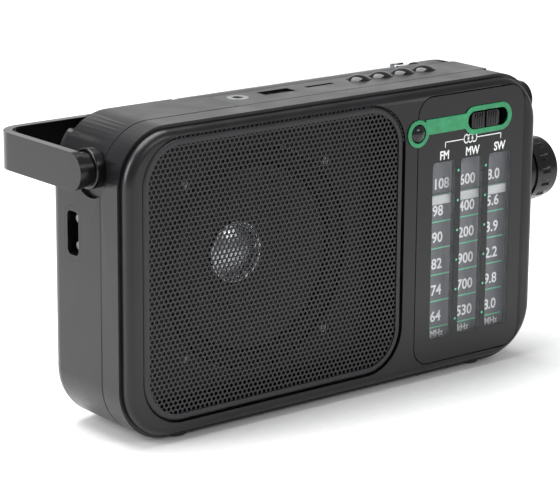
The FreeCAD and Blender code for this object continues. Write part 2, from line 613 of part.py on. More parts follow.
def fasteners():
    """The cabinet's screws and feet, each a group of loose pieces."""
    screws, feet = [], []
    for tag, x, z in SCREW_PLACES:
        screws.append(fuse(
            "cabinet_screw_" + tag,
            cylinder("screw_body_" + tag, "y", "screw_radius", x,
                     ("seam_y - screw_bite + fit_gap", "cab_depth - screw_sink + fit_gap"), z),
            cylinder("screw_top_" + tag, "y", "screw_head", x,
                     ("cab_depth - screw_sink", "cab_depth - screw_sink / 3"), z)))
    for tag, x, y in FEET:
        feet.append(cylinder("foot_" + tag, "z", "foot_radius", x, y,
                             ("-foot_height", "foot_recess - fit_gap")))
    node("cabinet_screws", group("cabinet_screws", screws))
    node("rubber_feet", group("rubber_feet", feet))


# --- speaker -----------------------------------------------------------------------------

def ring(name, along, outer, inner, x, y, z):
    """A flat ring or a tube."""
    spans = {"x": x, "y": y, "z": z}
    hole = dict(spans)
    low, high = spans[along]
    hole[along] = ("(%s) - 1" % low, "(%s) + 1" % high)
    return cut(name, cylinder(name + "_disc", along, outer, **spans),
               cylinder(name + "_hole", along, inner, **hole))


def shell_cone(name, radii, wall, y):
    """A thin conical shell on the speaker's axis, open at both ends."""
    outer = taper(name + "_outside", "y", radii, "speaker_x", y, "speaker_z")
    inner = taper(name + "_inside", "y",
                  ["%s - %s" % (radius, wall) for radius in radii], "speaker_x", y, "speaker_z")
    return cut(name, outer, inner)


def speaker_grille():
    """A perforated steel tray pressed into the front: the holes belong to its finish."""
    gap = "trim_gap"
    tray = slab("grille_tray", "y", between("grille_left", "grille_right", gap),
                ("soft_gap", "grille_seat"), between("grille_low", "grille_high", gap),
                "grille_corner - " + gap, "grille_round")
    inset = "%s + grille_sheet" % gap
    hollow = slab("grille_hollow", "y", between("grille_left", "grille_right", inset),
                  ("soft_gap + grille_sheet", "grille_seat + 1"),
                  between("grille_low", "grille_high", inset),
                  "grille_corner - %s - grille_sheet" % gap)
    node("speaker_grille", cut("speaker_grille_cut", tray, hollow))


def speaker():
    x, z = "speaker_x", "speaker_z"
    front = "baffle_y + baffle_sheet"
    flange = front + " + speaker_flange"
    foot = front + " + basket_depth"
    basket = fuse(
        "basket_body",
        ring("basket_flange", "y", "speaker_radius", SURROUND + " + fit_gap", x,
             (front, flange + " + fit_gap"), z),
        shell_cone("basket_wall", ("speaker_radius - basket_sheet", "basket_foot"),
                   "basket_sheet", (flange, foot)),
        ring("basket_floor", "y", "basket_foot", "gap_radius", x,
             (foot + " - basket_sheet", foot), z),
        ring("spider_ledge", "y", "spider_radius + basket_sheet * 3",
             "spider_radius - spider_drop", x,
             (foot + " - spider_drop - basket_sheet", foot + " - spider_drop"), z))
    windows = []
    for quarter in range(4):
        window = box("basket_window_%d" % quarter, ("0", "speaker_radius"), ("0", "basket_depth / 2"),
                     ("0", "basket_foot / 2"))
        place(window, x, flange + " + basket_sheet * 2", z,
              Rotation(Vector(0, 1, 0), 90 * quarter + 20))
        windows.append(window)
    keep = cut("window_zone", fuse("basket_windows", *windows),
               cylinder("basket_keep", "y", "basket_foot + basket_sheet / 2", x,
                        (front, foot + " + 1"), z))
    plate_back = foot + " + plate_sheet"
    magnet_back = plate_back + " + magnet_length"
    plate = ring("speaker_front_plate", "y", "magnet_radius", "gap_radius", x,
                 (foot + " - fit_gap", plate_back), z)
    node("speaker_basket", fuse("speaker_basket_body", cut("basket_frame", basket, keep), plate))
    node("speaker_magnet", ring("speaker_magnet_ring", "y", "magnet_radius",
                                "gap_radius + plate_sheet", x, (plate_back, magnet_back), z))
    node("speaker_yoke", fuse(
        "speaker_yoke_body",
        cylinder("yoke_plate", "y", "magnet_radius - fit_gap", x,
                 (magnet_back, magnet_back + " + plate_sheet"), z),
        cylinder("yoke_pole", "y", "pole_radius", x, (foot, magnet_back + " + fit_gap"), z)))
    roll = torus("surround_roll_outside", "y", SURROUND + " - surround_roll",
                 "surround_roll", x, flange, z)
    bore = torus("surround_roll_inside", "y", SURROUND + " - surround_roll",
                 "surround_roll - cone_sheet", x, flange, z)
    behind = cylinder("surround_behind", "y", "speaker_radius + 1", x,
                      (flange, flange + " + surround_roll * 2"), z)
    node("speaker_surround", cut("speaker_surround_cut", roll, bore, behind))
    node("speaker_spider", ring("speaker_spider_ring", "y", "spider_radius",
                                "coil_radius + soft_gap", x,
                                (foot + " - spider_drop - basket_sheet - spider_sheet",
                                 foot + " - spider_drop - basket_sheet"), z))
    edge = flange + " - speaker_flange / 4"
    throat = edge + " + cone_depth"
    node("speaker_cone", shell_cone("speaker_cone_shell",
                                    (CONE, "coil_radius + fit_gap + cone_sheet"),
                                    "cone_sheet", (edge, throat)))
    sphere = "(dust_radius ^ 2 + dust_rise ^ 2) / (2 * dust_rise)"
    centre = throat + " - dust_rise - cone_sheet + " + sphere
    cap = cut("dust_cap_shell", ball("dust_cap_outside", sphere, x, centre, z),
              ball("dust_cap_inside", sphere + " - dust_sheet", x, centre, z),
              box("dust_cap_behind", (x + " - 40", x + " + 40"),
                  (throat + " - cone_sheet", throat + " + 80"), (z + " - 40", z + " + 40")))
    node("dust_cap", cap)
    node("voice_coil", ring("voice_coil_tube", "y", "coil_radius", "coil_radius - coil_sheet",
                            x, (throat + " - cone_sheet", throat + " + coil_length"), z))


# --- dial --------------------------------------------------------------------------------

def window_span(index, inset="0"):
    left = "window_left + %d * window_pitch" % index
    return between(left, left + " + window_width", inset)


def dial_panel():
    gap = "trim_gap"
    blank = slab("panel_blank", "y", between("panel_left", "panel_right", gap),
                 ("0", "panel_sheet"), between("panel_low", "panel_high", gap),
                 "panel_corner - " + gap)
    openings = [
        cylinder("panel_lamp_hole", "y", "lamp_radius + fit_gap", "lamp_x",
                 ("-1", "front_wall"), "lamp_z"),
        slab("panel_slot", "y", ("slot_left", "slot_right"), ("-1", "front_wall"),
             ("slot_low", "slot_high"), "(slot_high - slot_low) / 2 - fit_gap")]
    panes = []
    for index in range(3):
        openings.append(slab("window_hole_%d" % index, "y", window_span(index),
                             ("-1", "front_wall"), ("window_low", "window_high"),
                             "window_corner"))
        panes.append(slab("window_pane_%d" % index, "y", window_span(index, "fit_gap"),
                          ("fit_gap", "window_sheet"),
                          between("window_low", "window_high", "fit_gap"),
                          "window_corner - fit_gap"))
    node("dial_panel", cut("dial_panel_cut", blank, *openings))
    node("dial_windows", group("dial_windows", panes))


def green_trim():
    """One moulding: a ring round the lamp, a bar, and a frame round the band switch."""
    y = ("-trim_rise", "-fit_gap / 5")
    border = "-slot_border"
    solid = fuse(
        "trim_solid",
        cylinder("trim_ring", "y", "ring_radius", "lamp_x", y, "lamp_z"),
        box("trim_bar", ("lamp_x + lamp_radius", "slot_left"), y, ("trim_bar_low", "trim_bar_high")),
        slab("trim_frame", "y", between("slot_left", "slot_right", border), y,
             between("slot_low", "slot_high", border),
             "(slot_high - slot_low) / 2 + slot_border - fit_gap"))
    node("green_trim", cut(
        "green_trim_cut", solid,
        cylinder("trim_lamp_hole", "y", "lamp_radius + fit_gap", "lamp_x",
                 ("-trim_rise - 1", "1"), "lamp_z"),
        slab("trim_slot", "y", ("slot_left", "slot_right"), ("-trim_rise - 1", "1"),
             ("slot_low", "slot_high"), "(slot_high - slot_low) / 2 - fit_gap")))


def indicator():
    sphere = "lamp_radius * 1.25"
    sink = "sqrt((%s) ^ 2 - lamp_radius ^ 2)" % sphere
    dome = common("lens_dome", ball("lens_ball", sphere, "lamp_x", sink, "lamp_z"),
                  cylinder("lens_zone", "y", "lamp_radius", "lamp_x",
                           ("-lamp_radius", "fit_gap"), "lamp_z"))
    stem = cylinder("lens_stem", "y", "lamp_radius", "lamp_x", ("0", "front_wall"), "lamp_z")
    node("indicator_lens", fuse("indicator_lens_body", dome, stem))
    bulb = fuse("led_body",
                cylinder("led_tube", "y", "lamp_radius / 2", "lamp_x + lamp_radius / 2",
                         ("front_wall + soft_gap", "board_y"), "lamp_z"),
                cylinder("led_rim", "y", "lamp_radius / 2 + cab_wall / 8",
                         "lamp_x + lamp_radius / 2", ("board_y - 1", "board_y"), "lamp_z"))
    pipe = cylinder("charge_lamp", "z", "charge_radius", "charge_x", "charge_y",
                    ("media_z + media_sheet", "cab_height"))
    node("indicator_lamps", group("indicator_lamps", [bulb, pipe]))


def dial_scale():
    """A silver plate behind the windows, standing off the cabinet on its rims."""
    left = "window_left - window_frame * 1.45"
    right = "bracket_x - bracket_sheet / 2"
    low = "window_low - window_frame * 1.3"
    high = "window_high + window_frame * 1.25"
    rim = "window_frame / 2"
    plate = box("scale_plate", (left, right), ("scale_y", "scale_y + scale_sheet"), (low, high))
    rims = [box("scale_rim_left", (left, left + " + " + rim),
                ("front_wall", "scale_y + fit_gap"), (low, high)),
            box("scale_rim_low", (left, right), ("front_wall", "scale_y + fit_gap"),
                (low, low + " + " + rim)),
            box("scale_rim_high", (left, right), ("front_wall", "scale_y + fit_gap"),
                (high + " - " + rim, high))]
    node("dial_scale", fuse("dial_scale_body", plate, *rims))


def pointer():
    """The pale bar behind the windows, on a carriage that slides on its rail."""
    bar = box("pointer_bar", ("window_left - window_frame / 2", "bracket_x + bracket_sheet"),
              ("pointer_y", "pointer_y + pointer_sheet"),
              between("pointer_low", "pointer_low", "-pointer_band / 2"))
    carriage = box("pointer_carriage", ("bracket_x + soft_gap", "cord_x + cord_radius * 4"),
                   ("front_wall + soft_gap / 2", "cord_y * 2 - front_wall - soft_gap / 2"),
                   ("pointer_low - carriage_drop", "pointer_low + carriage_rise"))
    through = ("pointer_low - carriage_drop - 1", "pointer_low + carriage_rise + 1")
    rail = cylinder("rail_bore", "z", "rail_radius + run_gap", "rail_x", "cord_y", through)
    slot = box("cord_slot", ("cord_x - cord_radius * 2", "cord_x + cord_radius * 5"),
               between("cord_y", "cord_y", "-cord_radius * 2"), through)
    node("dial_pointer", cut("dial_pointer_cut", fuse("pointer_body", bar, carriage), rail, slot))


# --- dial drive --------------------------------------------------------------------------

BRACKET_LOW = "(cab_wall + bracket_lift)"
PULLEY_LOW = "(cab_wall + pulley_lift)"
PULLEYS = [("upper", "pulley_high"), ("lower", PULLEY_LOW)]


def cord_plane(half):
    return between("cord_x", "cord_x", "-(%s)" % half)


def dial_bracket():
    x = ("bracket_x", "bracket_x + bracket_sheet")
    arms = [box("bracket_plate", x, ("bracket_y", "bracket_back"), ("bracket_step", "bracket_high")),
            box("bracket_leg_plate", x, ("bracket_y", "bracket_leg"),
                (BRACKET_LOW, "bracket_step + fit_gap"))]
    for tag, low, high in (("upper", "bracket_high - bracket_sheet", "bracket_high"),
                           ("lower", BRACKET_LOW, BRACKET_LOW + " + bracket_sheet")):
        arms.append(box("bracket_arm_" + tag, ("bracket_x", "arm_right"),
                        ("front_wall", "bracket_y + bracket_sheet"), (low, high)))
    for tag, z in PULLEYS:
        span = (z + " - pulley_radius", z + " + pulley_radius")
        arms.append(box("bracket_ear_" + tag, x, ("pulley_y - pulley_radius / 2", "bracket_y + fit_gap"),
                        span))
        arms.append(cylinder("pulley_axle_" + tag, "x", "axle_radius",
                             ("bracket_x", "cord_x + pulley_width / 2 + bracket_sheet / 2"),
                             "pulley_y", z))
    holes = [cylinder("spindle_bearing", "x", "spindle_radius + run_gap",
                      ("bracket_x - 1", "bracket_x + bracket_sheet + 1"), "knob_y", "knob_z"),
             cylinder("gang_bearing", "x", "gang_axle + run_gap",
                      ("bracket_x - 1", "bracket_x + bracket_sheet + 1"), "drum_y", "drum_z"),
             box("wheel_relief", ("bracket_x - 1", "arm_right"),
                 ("bracket_leg", "bracket_back + 1"), (BRACKET_LOW + " - 1", "bracket_step"))]
    arms.append(cylinder("pointer_rail", "z", "rail_radius", "rail_x", "cord_y",
                         (BRACKET_LOW, "bracket_high")))
    node("dial_bracket", cut("dial_bracket_cut", fuse("bracket_body", *arms), *holes))


def grooved_wheel(name, radius, bore, y, z, width):
    """A wheel with two rims and a cord groove between them."""
    groove = "((%s) / 2 - drum_rim / 2)" % width
    core = cylinder(name + "_core", "x", radius + " - cord_radius", cord_plane("(%s) / 2" % width), y, z)
    rims = [cylinder(name + "_rim_low", "x", radius + " + drum_rim",
                     ("cord_x - (%s) / 2" % width, "cord_x - " + groove), y, z),
            cylinder(name + "_rim_high", "x", radius + " + drum_rim",
                     ("cord_x + " + groove, "cord_x + (%s) / 2" % width), y, z)]
    whole = fuse(name + "_wheel", core, *rims)
    if bore is None:
        return whole
    return cut(name + "_bored", whole,
               cylinder(name + "_bore", "x", bore, cord_plane(width), y, z))


def dial_drive():
    for tag, z in PULLEYS:
        node("cord_pulley_" + tag, grooved_wheel("cord_pulley_" + tag, "pulley_radius",
                                                 "axle_radius + run_gap", "pulley_y", z,
                                                 "pulley_width"))
    half = "gang_size / 2"
    node("tuning_capacitor", cut(
        "tuning_capacitor_cut",
        box("capacitor_case", ("bracket_x - gang_length", "bracket_x"),
            between("drum_y", "drum_y", "-" + half), between("drum_z", "drum_z", "-" + half)),
        cylinder("capacitor_bore", "x", "gang_axle + run_gap",
                 ("bracket_x - gang_length / 2", "bracket_x + 1"), "drum_y", "drum_z")))
    drum = grooved_wheel("drum_wheel", "drum_radius", None, "drum_y", "drum_z", "pulley_width")
    axle = cylinder("capacitor_axle", "x", "gang_axle",
                    ("bracket_x - gang_length / 2 + fit_gap", "cord_x + pulley_width"),
                    "drum_y", "drum_z")
    node("tuning_drum", fuse("tuning_drum_body", drum, axle))
    groove = grooved_wheel("spindle_drum", "spindle_groove", None, "knob_y", "knob_z",
                           "pulley_width")
    inner = "bracket_x + fit_gap"
    rod = cylinder("spindle_rod", "x", "spindle_radius",
                   (inner, "cab_width / 2 - scoop_depth + knob_float + knob_bore_depth - fit_gap"),
                   "knob_y", "knob_z")
    node("tuning_spindle", fuse("tuning_spindle_body", groove, rod))
    floor = "cab_width / 2 - scoop_depth"
    node("spindle_bush", ring("spindle_bush_ring", "x", "bush_radius",
                              "spindle_radius + run_gap",
                              (floor + " - scoop_wall", floor + " + knob_float / 3"),
                              "knob_y", "knob_z"))


def dial_cord():
    """A thin cord in one plane: straight runs and the arcs where it lies on the wheels."""
    wheels = [("pulley_y", "pulley_high", "pulley_radius"), ("pulley_y", PULLEY_LOW, "pulley_radius"),
              ("drum_y", "drum_z", "drum_radius"), ("knob_y", "knob_z", "spindle_groove")]
    lift = num("fit_gap") / 2
    hubs = [(num(y), num(z), num(radius) + lift) for y, z, radius in wheels]
    offset, raised = num("cab_depth / 2"), num("foot_height")
    edges, touch = [], []
    for (y0, z0, r0), (y1, z1, r1) in zip(hubs, hubs[1:] + hubs[:1]):
        heading = math.atan2(z1 - z0, y1 - y0)
        lean = math.acos((r0 - r1) / math.hypot(y1 - y0, z1 - z0))
        angle = heading - lean
        touch.append((angle, (y0 + r0 * math.cos(angle), z0 + r0 * math.sin(angle)),
                      (y1 + r1 * math.cos(angle), z1 + r1 * math.sin(angle))))
    x = num("cord_x")

    def point(pair):
        return Vector(x, pair[0] - offset, pair[1] + raised)

    for index, (y, z, r) in enumerate(hubs):
        arrive, leave = touch[index - 1], touch[index]
        turn = (leave[0] - arrive[0]) % (2 * math.pi)
        middle = arrive[0] + turn / 2
        edges.append(Part.Arc(point(arrive[2]),
                              point((y + r * math.cos(middle), z + r * math.sin(middle))),
                              point(leave[1])).toShape())
        edges.append(Part.LineSegment(point(leave[1]), point(leave[2])).toShape())
    cord = doc.addObject("Part::Feature", "dial_cord")
    runs = [path_edge_tube(edge, num("cord_radius")) for edge in edges]
    cord.Shape = runs[0].multiFuse(runs[1:]).removeSplitter()
    node("dial_cord", cord)


def path_edge_tube(edge, radius):
    """A round bar along one edge of a path."""
    start = edge.valueAt(edge.FirstParameter)
    heading = edge.tangentAt(edge.FirstParameter)
    section = Part.Wire([Part.Circle(start, heading, radius).toShape()])
    return Part.Wire([edge]).makePipeShell([section], True, False)


def tuning_knob():
    """A skirt, a notched ring and a smooth cap, turned as one piece about its own axis."""
    body = doc.addObject("PartDesign::Body", "tuning_knob")
    sections = [("skirt", "knob_skirt_radius", "0", "knob_skirt"),
                ("ring", "knob_radius", "knob_skirt", "knob_ring"),
                ("cap", "knob_cap_radius", "knob_skirt + knob_ring", "knob_cap")]
    for tag, radius, start, length in sections:
        sketch = sketch_on(body, "knob_" + tag, start)
        draw_circle(sketch, radius)
        raised = pad(body, sketch, length)
    doc.recompute()
    raised = round_end(body, raised, "knob_round", upper=True)
    notch = sketch_on(body, "knob_notch", "knob_skirt + knob_ring")
    draw_rounded(notch, "notch_width", "notch_depth * 4", "notch_width / 2 - fit_gap")
    bind(notch, "AttachmentOffset.Base.x", "knob_radius + notch_depth")
    notch.AttachmentOffset.Rotation = Rotation(Vector(0, 0, 1), 90)
    sunk = pocket(body, notch, "notch_length")
    doc.recompute()
    pattern = body.newObject("PartDesign::PolarPattern", "knob_notches_round")
    pattern.Originals = [sunk]
    pattern.Axis = (body_plane(body, "Z_Axis"), [""])
    pattern.Angle = 360
    bind(pattern, "Occurrences", "knob_notches")
    body.Tip = pattern
    bore = sketch_on(body, "knob_bore", "knob_bore_depth")
    draw_circle(bore, "spindle_radius + fit_gap")
    body.Tip = pocket(body, bore, "knob_bore_depth")
    place(body, "cab_width / 2 - scoop_depth + knob_float", "knob_y", "knob_z", TURN["x"])
    node("tuning_knob", body)


# --- boards, band switch and volume control ----------------------------------------------

def board_screw(name, along, x, y, z, outward):
    """A small screw: the coordinate along its axis is the board's face under its head."""
    spans = {"x": x, "y": y, "z": z}
    face = spans[along]
    head = dict(spans)
    length = "board_sheet + board_bite - fit_gap"
    if outward > 0:
        spans[along] = ("(%s) - (%s)" % (face, length), face + " + fit_gap")
        head[along] = (face, face + " + board_screw")
    else:
        spans[along] = (face + " - fit_gap", "(%s) + (%s)" % (face, length))
        head[along] = (face + " - board_screw", face)
    return fuse(name, cylinder(name + "_body", along, "board_screw", **spans),
                cylinder(name + "_top", along, "board_head", **head))


def switch_case():
    """The band switch's body and the groove that the slider's tongue runs in."""
    middle = "(slot_low + slot_high) / 2"
    centre = "slider_left + slider_width / 2"
    case = box("switch_block", between("slot_left", "slot_right", "slider_foot"),
               ("switch_y", "board_y + fit_gap"), ("switch_low", "switch_high"))
    groove = box("switch_groove", (centre + " - slider_stem / 2 - soft_gap",
                                   centre + " + slider_stem / 2 + slider_travel + soft_gap"),
                 ("switch_y - 1", "switch_y + slider_tongue + soft_gap"),
                 between(middle, middle, "-slider_stem / 2 - soft_gap"))
    return cut("switch_case", case, groove)


def boards():
    back = "board_y + board_sheet"
    blank = box("main_board_blank", ("board_left", "board_right"), ("board_y", back),
                ("board_low", "board_high"))
    chips = [box("main_chip_" + tag, (x, x + " + chip_size"), (back + " - fit_gap", back + " + chip_rise"),
                 (z, z + " + chip_size"))
             for tag, x, z in (("tuner", "board_left + chip_size", "board_low + chip_size / 2"),
                               ("player", "board_left + chip_size", "window_high - chip_size * 1.5"))]
    cans = [cylinder("main_can_" + tag, "y", "chip_size / 4", x,
                     (back + " - fit_gap", back + " + chip_size / 2"), "board_low + chip_size * 3")
            for tag, x in (("one", "board_left + chip_size"), ("two", "board_left + chip_size * 1.7"))]
    holes = [pilot("board_hole_" + tag, "y", x, ("board_y - 1", back + " + 1"), z, "fit_gap * 2")
             for tag, x, z in BOARD_POSTS]
    node("main_board", cut("main_board_cut", fuse("main_board_body", blank, switch_case(),
                                                  *(chips + cans)), *holes))
    screws = [board_screw("main_screw_" + tag, "y", x, back, z, 1) for tag, x, z in BOARD_POSTS]

    media = box("media_board_blank", ("media_left", "media_right"), ("media_front", "media_back"),
                ("media_z", "media_z + media_sheet"))
    chip = box("media_chip", ("card_x", "card_x + chip_size"), between("row_y", "row_y", "-chip_size / 2"),
               ("media_z - chip_rise", "media_z + fit_gap"))
    holes = [pilot("media_hole_" + tag, "z", x, y, ("media_z - 1", "media_z + media_sheet + 1"),
                   "fit_gap * 2") for tag, x, y in MEDIA_POSTS]
    tacts = [box("tact_" + name, between(button_x(index), button_x(index), "-tact_size / 2"),
                 between("row_y", "row_y", "-tact_size / 2"),
                 ("media_z + media_sheet - fit_gap", "media_z + media_sheet + tact_rise"))
             for name, index in BUTTONS]
    node("media_board", cut("media_board_cut", fuse("media_board_body", media, chip, *tacts),
                            *holes))
    screws += [board_screw("media_screw_" + tag, "z", x, y, "media_z", -1)
               for tag, x, y in MEDIA_POSTS]

    supply_back = "supply_y + board_sheet"
    supply = box("power_board_blank", ("supply_left", "supply_right"), ("supply_y", supply_back),
                 ("supply_low", "supply_high"))
    holes = [pilot("supply_hole_" + tag, "y", x, ("supply_y - 1", supply_back + " + 1"), z,
                   "fit_gap * 2") for tag, x, z in SUPPLY_POSTS]
    middle = "(supply_low + supply_high) / 2"
    cans = [cylinder("filter_can_" + tag, "y", "can_radius", "supply_left + can_radius * %s" % steps,
                     ("supply_y - can_length", "supply_y + fit_gap"), middle)
            for tag, steps in (("one", "2.6"), ("two", "5"))]
    node("power_board", cut("power_board_cut", fuse("power_board_body", supply, *cans), *holes))
    screws += [board_screw("supply_screw_" + tag, "y", x, "supply_y", z, -1)
               for tag, x, z in SUPPLY_POSTS]
    flange_back = "baffle_y + baffle_sheet + speaker_flange"
    for tag, x, z in SPEAKER_SCREWS:
        screws.append(fuse(
            "speaker_screw_" + tag,
            cylinder("speaker_screw_body_" + tag, "y", "screw_radius", x,
                     ("baffle_y + fit_gap", flange_back + " + fit_gap * 2"), z),
            cylinder("speaker_screw_top_" + tag, "y", "screw_head", x,
                     (flange_back + " + fit_gap", flange_back + " + screw_head / 2"), z)))
    node("inner_screws", group("inner_screws", screws))


def band_switch():
    middle = "(slot_low + slot_high) / 2"
    x = ("slider_left", "slider_left + slider_width")
    z = between("slot_low", "slot_high", "slider_margin")
    flange = ("front_wall + soft_gap / 2", "front_wall + soft_gap / 2 + slider_foot")
    lumps = slab("slider_lumps", "y", x, ("-slider_rise", flange[0] + " + fit_gap"), z, "window_corner")
    centre = "slider_left + slider_width / 2"
    notch = box("slider_gap", between(centre, centre, "-slider_notch / 2"),
                ("-slider_rise - 1", "0"), ("slot_low - 1", "slot_high + 1"))
    foot = box("slider_flange", between(x[0], x[1], "-slider_foot"), flange,
               between("slot_low", "slot_high", "-slider_foot"))
    tongue = box("slider_tongue_bar", between(centre, centre, "-slider_stem / 2"),
                 (flange[1] + " - fit_gap", "switch_y + slider_tongue"),
                 between(middle, middle, "-slider_stem / 2"))
    node("band_slider", fuse("band_slider_body", cut("slider_cap", lumps, notch), foot, tongue))


def volume_control():
    back = "wheel_y + wheel_width"
    pot_front = back + " + wheel_gap"
    pot_back = pot_front + " + pot_depth"
    node("volume_wheel", fuse(
        "volume_wheel_body",
        cylinder("wheel_disc", "y", "wheel_radius", WHEEL_X, ("wheel_y", back), "wheel_z"),
        cylinder("wheel_stub", "y", "wheel_axle", WHEEL_X,
                 (back + " - fit_gap", pot_back + " - pot_depth / 4"), "wheel_z")))
    half = "-pot_size / 2"
    pot = box("volume_case", between(WHEEL_X, WHEEL_X, half), (pot_front, pot_back),
              between("wheel_z", "wheel_z", half))
    bore = cylinder("volume_bore", "y", "wheel_axle + run_gap", WHEEL_X,
                    (pot_front + " - 1", pot_back + " - pot_depth / 8"), "wheel_z")
    board = box("volume_board", (WHEEL_X + " - volume_left", WHEEL_X + " + volume_right"),
                (pot_back + " - fit_gap", pot_back + " + board_sheet"),
                ("volume_low", "volume_high"))
    node("volume_control", cut("volume_control_cut", fuse("volume_solid", pot, board), bore))


# --- top plate and its controls ----------------------------------------------------------

def top_plate():
    """The flush plate in the top, its front edge against the front shell."""
    under = "cab_height - top_sheet"
    blank = slab("top_blank", "z", between("top_left", "top_right", "top_gap"),
                 ("top_front - 2", "top_back - top_gap"), (under, "cab_height"), "top_corner")
    front = box("top_front_zone", ("top_left - 1", "top_right + 1"),
                ("top_front + fit_gap", "top_back + 1"), (under + " - 1", "cab_height + 1"))
    through = (under + " - 1", "cab_height + 1")
    holes = [
        cylinder("jack_hole", "z", "jack_radius + fit_gap", "jack_x", "row_y", through),
        box("usb_hole", between("usb_x", "usb_x", "-usb_width / 2 - fit_gap"),
            between("row_y", "row_y", "-usb_depth / 2 - fit_gap"), through),
        cylinder("charge_hole", "z", "charge_radius + fit_gap", "charge_x", "charge_y", through),
        box("card_hole", between("card_x", "card_x", "-card_width / 2"),
            between("row_y", "row_y", "-card_slot / 2"), through)]
    for name, index in BUTTONS:
        holes.append(cylinder("button_hole_" + name, "z", "button_radius + run_gap",
                              button_x(index), "row_y", through))
    node("top_plate", cut("top_plate_cut", common("top_plate_blank", blank, front), *holes))


def sockets():
    board = "media_z + media_sheet"
    under = "cab_height - top_sheet"
    barrel = cylinder("jack_barrel", "z", "jack_radius", "jack_x", "row_y",
                      (under + " - 1", "cab_height"))
    case = box("jack_case", between("jack_x", "jack_x", "-jack_body"),
               between("row_y", "row_y", "-jack_body"), (board, under + " - fit_gap"))
    node("headphone_jack", cut("headphone_jack_cut", fuse("jack_solid", barrel, case),
                               cylinder("jack_bore_hole", "z", "jack_bore", "jack_x", "row_y",
                                        ("cab_height - jack_length", "cab_height + 1"))))
    floor = "cab_height - usb_length * 0.75"
    shell = box("usb_shell", between("usb_x", "usb_x", "-usb_width / 2"),
                between("row_y", "row_y", "-usb_depth / 2"), (board, "cab_height"))
    room = box("usb_room", between("usb_x", "usb_x", "-usb_width / 2 + usb_wall"),
               between("row_y", "row_y", "-usb_depth / 2 + usb_wall"), (floor, "cab_height + 1"))
    tongue = box("usb_tongue", between("usb_x", "usb_x", "-usb_width / 2 + usb_wall * 2"),
                 ("row_y + usb_depth / 2 - usb_wall * 2 - tongue_sheet",
                  "row_y + usb_depth / 2 - usb_wall * 2"),
                 (floor + " - fit_gap", "cab_height - usb_wall * 2"))
    node("usb_socket", fuse("usb_socket_body", cut("usb_can", shell, room), tongue))
    body = box("card_case", between("card_x", "card_x", "-card_body / 2"),
               between("row_y", "row_y", "-card_depth / 2"), (board, under + " - fit_gap"))
    slot = box("card_slit", between("card_x", "card_x", "-card_width / 2"),
               between("row_y", "row_y", "-card_slot / 2 + usb_wall"),
               ("cab_height - card_length", "cab_height"))
    node("card_socket", cut("card_socket_cut", body, slot))


def push_buttons():
    under = "cab_height - top_sheet - fit_gap"
    tact_top = "media_z + media_sheet + tact_rise"
    for name, index in BUTTONS:
        x = button_x(index)
        tag = "button_" + name
        sphere = "(button_radius ^ 2 + button_rise ^ 2) / (2 * button_rise)"
        dome = common(tag + "_dome",
                      ball(tag + "_ball", sphere, x, "row_y", "cab_height + button_rise - " + sphere),
                      cylinder(tag + "_zone", "z", "button_radius", x, "row_y",
                               ("cab_height - fit_gap", "cab_height + button_rise")))
        node(tag, fuse(
            tag + "_body", dome,
            cylinder(tag + "_barrel", "z", "button_radius", x, "row_y",
                     (under + " - fit_gap", "cab_height")),
            cylinder(tag + "_rim", "z", "button_radius + run_gap * 3", x, "row_y",
                     (under + " - button_rim / 2", under)),
            cylinder(tag + "_stem", "z", "button_stem", x, "row_y",
                     (tact_top + " + button_travel + fit_gap", under))))


# --- mains inlet, transformer and ferrite aerial -----------------------------------------

def mains_inlet():
    y = between("inlet_y - inlet_width / 2", "inlet_y + inlet_width / 2", "fit_gap")
    z = between("inlet_z - inlet_height / 2", "inlet_z + inlet_height / 2", "fit_gap")
    face = "-cab_width / 2"
    shell = slab("inlet_shell", "x", (face, face + " + inlet_depth"), y, z, "inlet_corner - fit_gap")
    inner = face + " + cab_wall + fit_gap"
    flange = slab("inlet_flange", "x", (inner, inner + " + inlet_wall"),
                  between(y[0], y[1], "-inlet_wall"), between(z[0], z[1], "-inlet_wall"),
                  "inlet_corner + inlet_wall / 2")
    room = slab("inlet_room", "x", (face + " - 1", face + " + inlet_depth - inlet_base"),
                between(y[0], y[1], "inlet_wall"), between(z[0], z[1], "inlet_wall"),
                "inlet_corner - inlet_wall")
    node("mains_inlet", cut("mains_inlet_cut", fuse("inlet_body", shell, flange), room))
    foot = face + " + inlet_depth - inlet_base"
    pins = []
    for tag, sign in (("low", "-"), ("high", "+")):
        pins.append(cylinder("inlet_pin_" + tag, "x", "pin_radius",
                             (foot + " - pin_length", foot), "inlet_y",
                             "inlet_z %s pin_pitch / 2" % sign))
    node("inlet_pins", group("inlet_pins", pins))


def transformer():
    right = "core_left + core_width"
    x = between("core_left", right, "core_limb")
    z = between("core_low", "core_low + core_height", "core_limb")
    y = ("core_front", "core_front + core_stack")
    core = box("core_block", ("core_left", right), y, ("core_low", "core_low + core_height"))
    middle = "core_left + core_width / 2"
    window = box("core_window", x, between(y[0], y[1], "-1"), z)
    limb = box("core_centre", between(middle, middle, "-core_limb"), y,
               between(z[0], z[1], "-fit_gap"))
    laminations = fuse("transformer_core", cut("core_frame", core, window), limb)
    winding = box("winding_block", between(x[0], x[1], "fit_gap"),
                  between(y[0], y[1], "-winding_swell"), between(z[0], z[1], "fit_gap"))
    hole = box("winding_hole", between(middle, middle, "-core_limb - fit_gap"),
               between(y[0], y[1], "-fit_gap"), between(z[0], z[1], "-1"))
    node("mains_transformer", group("mains_transformer",
                                    [laminations, cut("transformer_winding", winding, hole)]))


def ferrite_aerial():
    rod = cylinder("ferrite_rod", "x", "rod_radius", ("rod_left", "rod_right"), "rod_y", "rod_z")
    middle = "(rod_left + rod_right) / 2"
    coil = ring("ferrite_coil", "x", "rod_radius + rod_coil_wall", "rod_radius + fit_gap",
                between(middle, middle, "-rod_coil / 2"), "rod_y", "rod_z")
    node("ferrite_aerial", group("ferrite_aerial", [rod, coil]))


# --- battery bay -------------------------------------------------------------------------

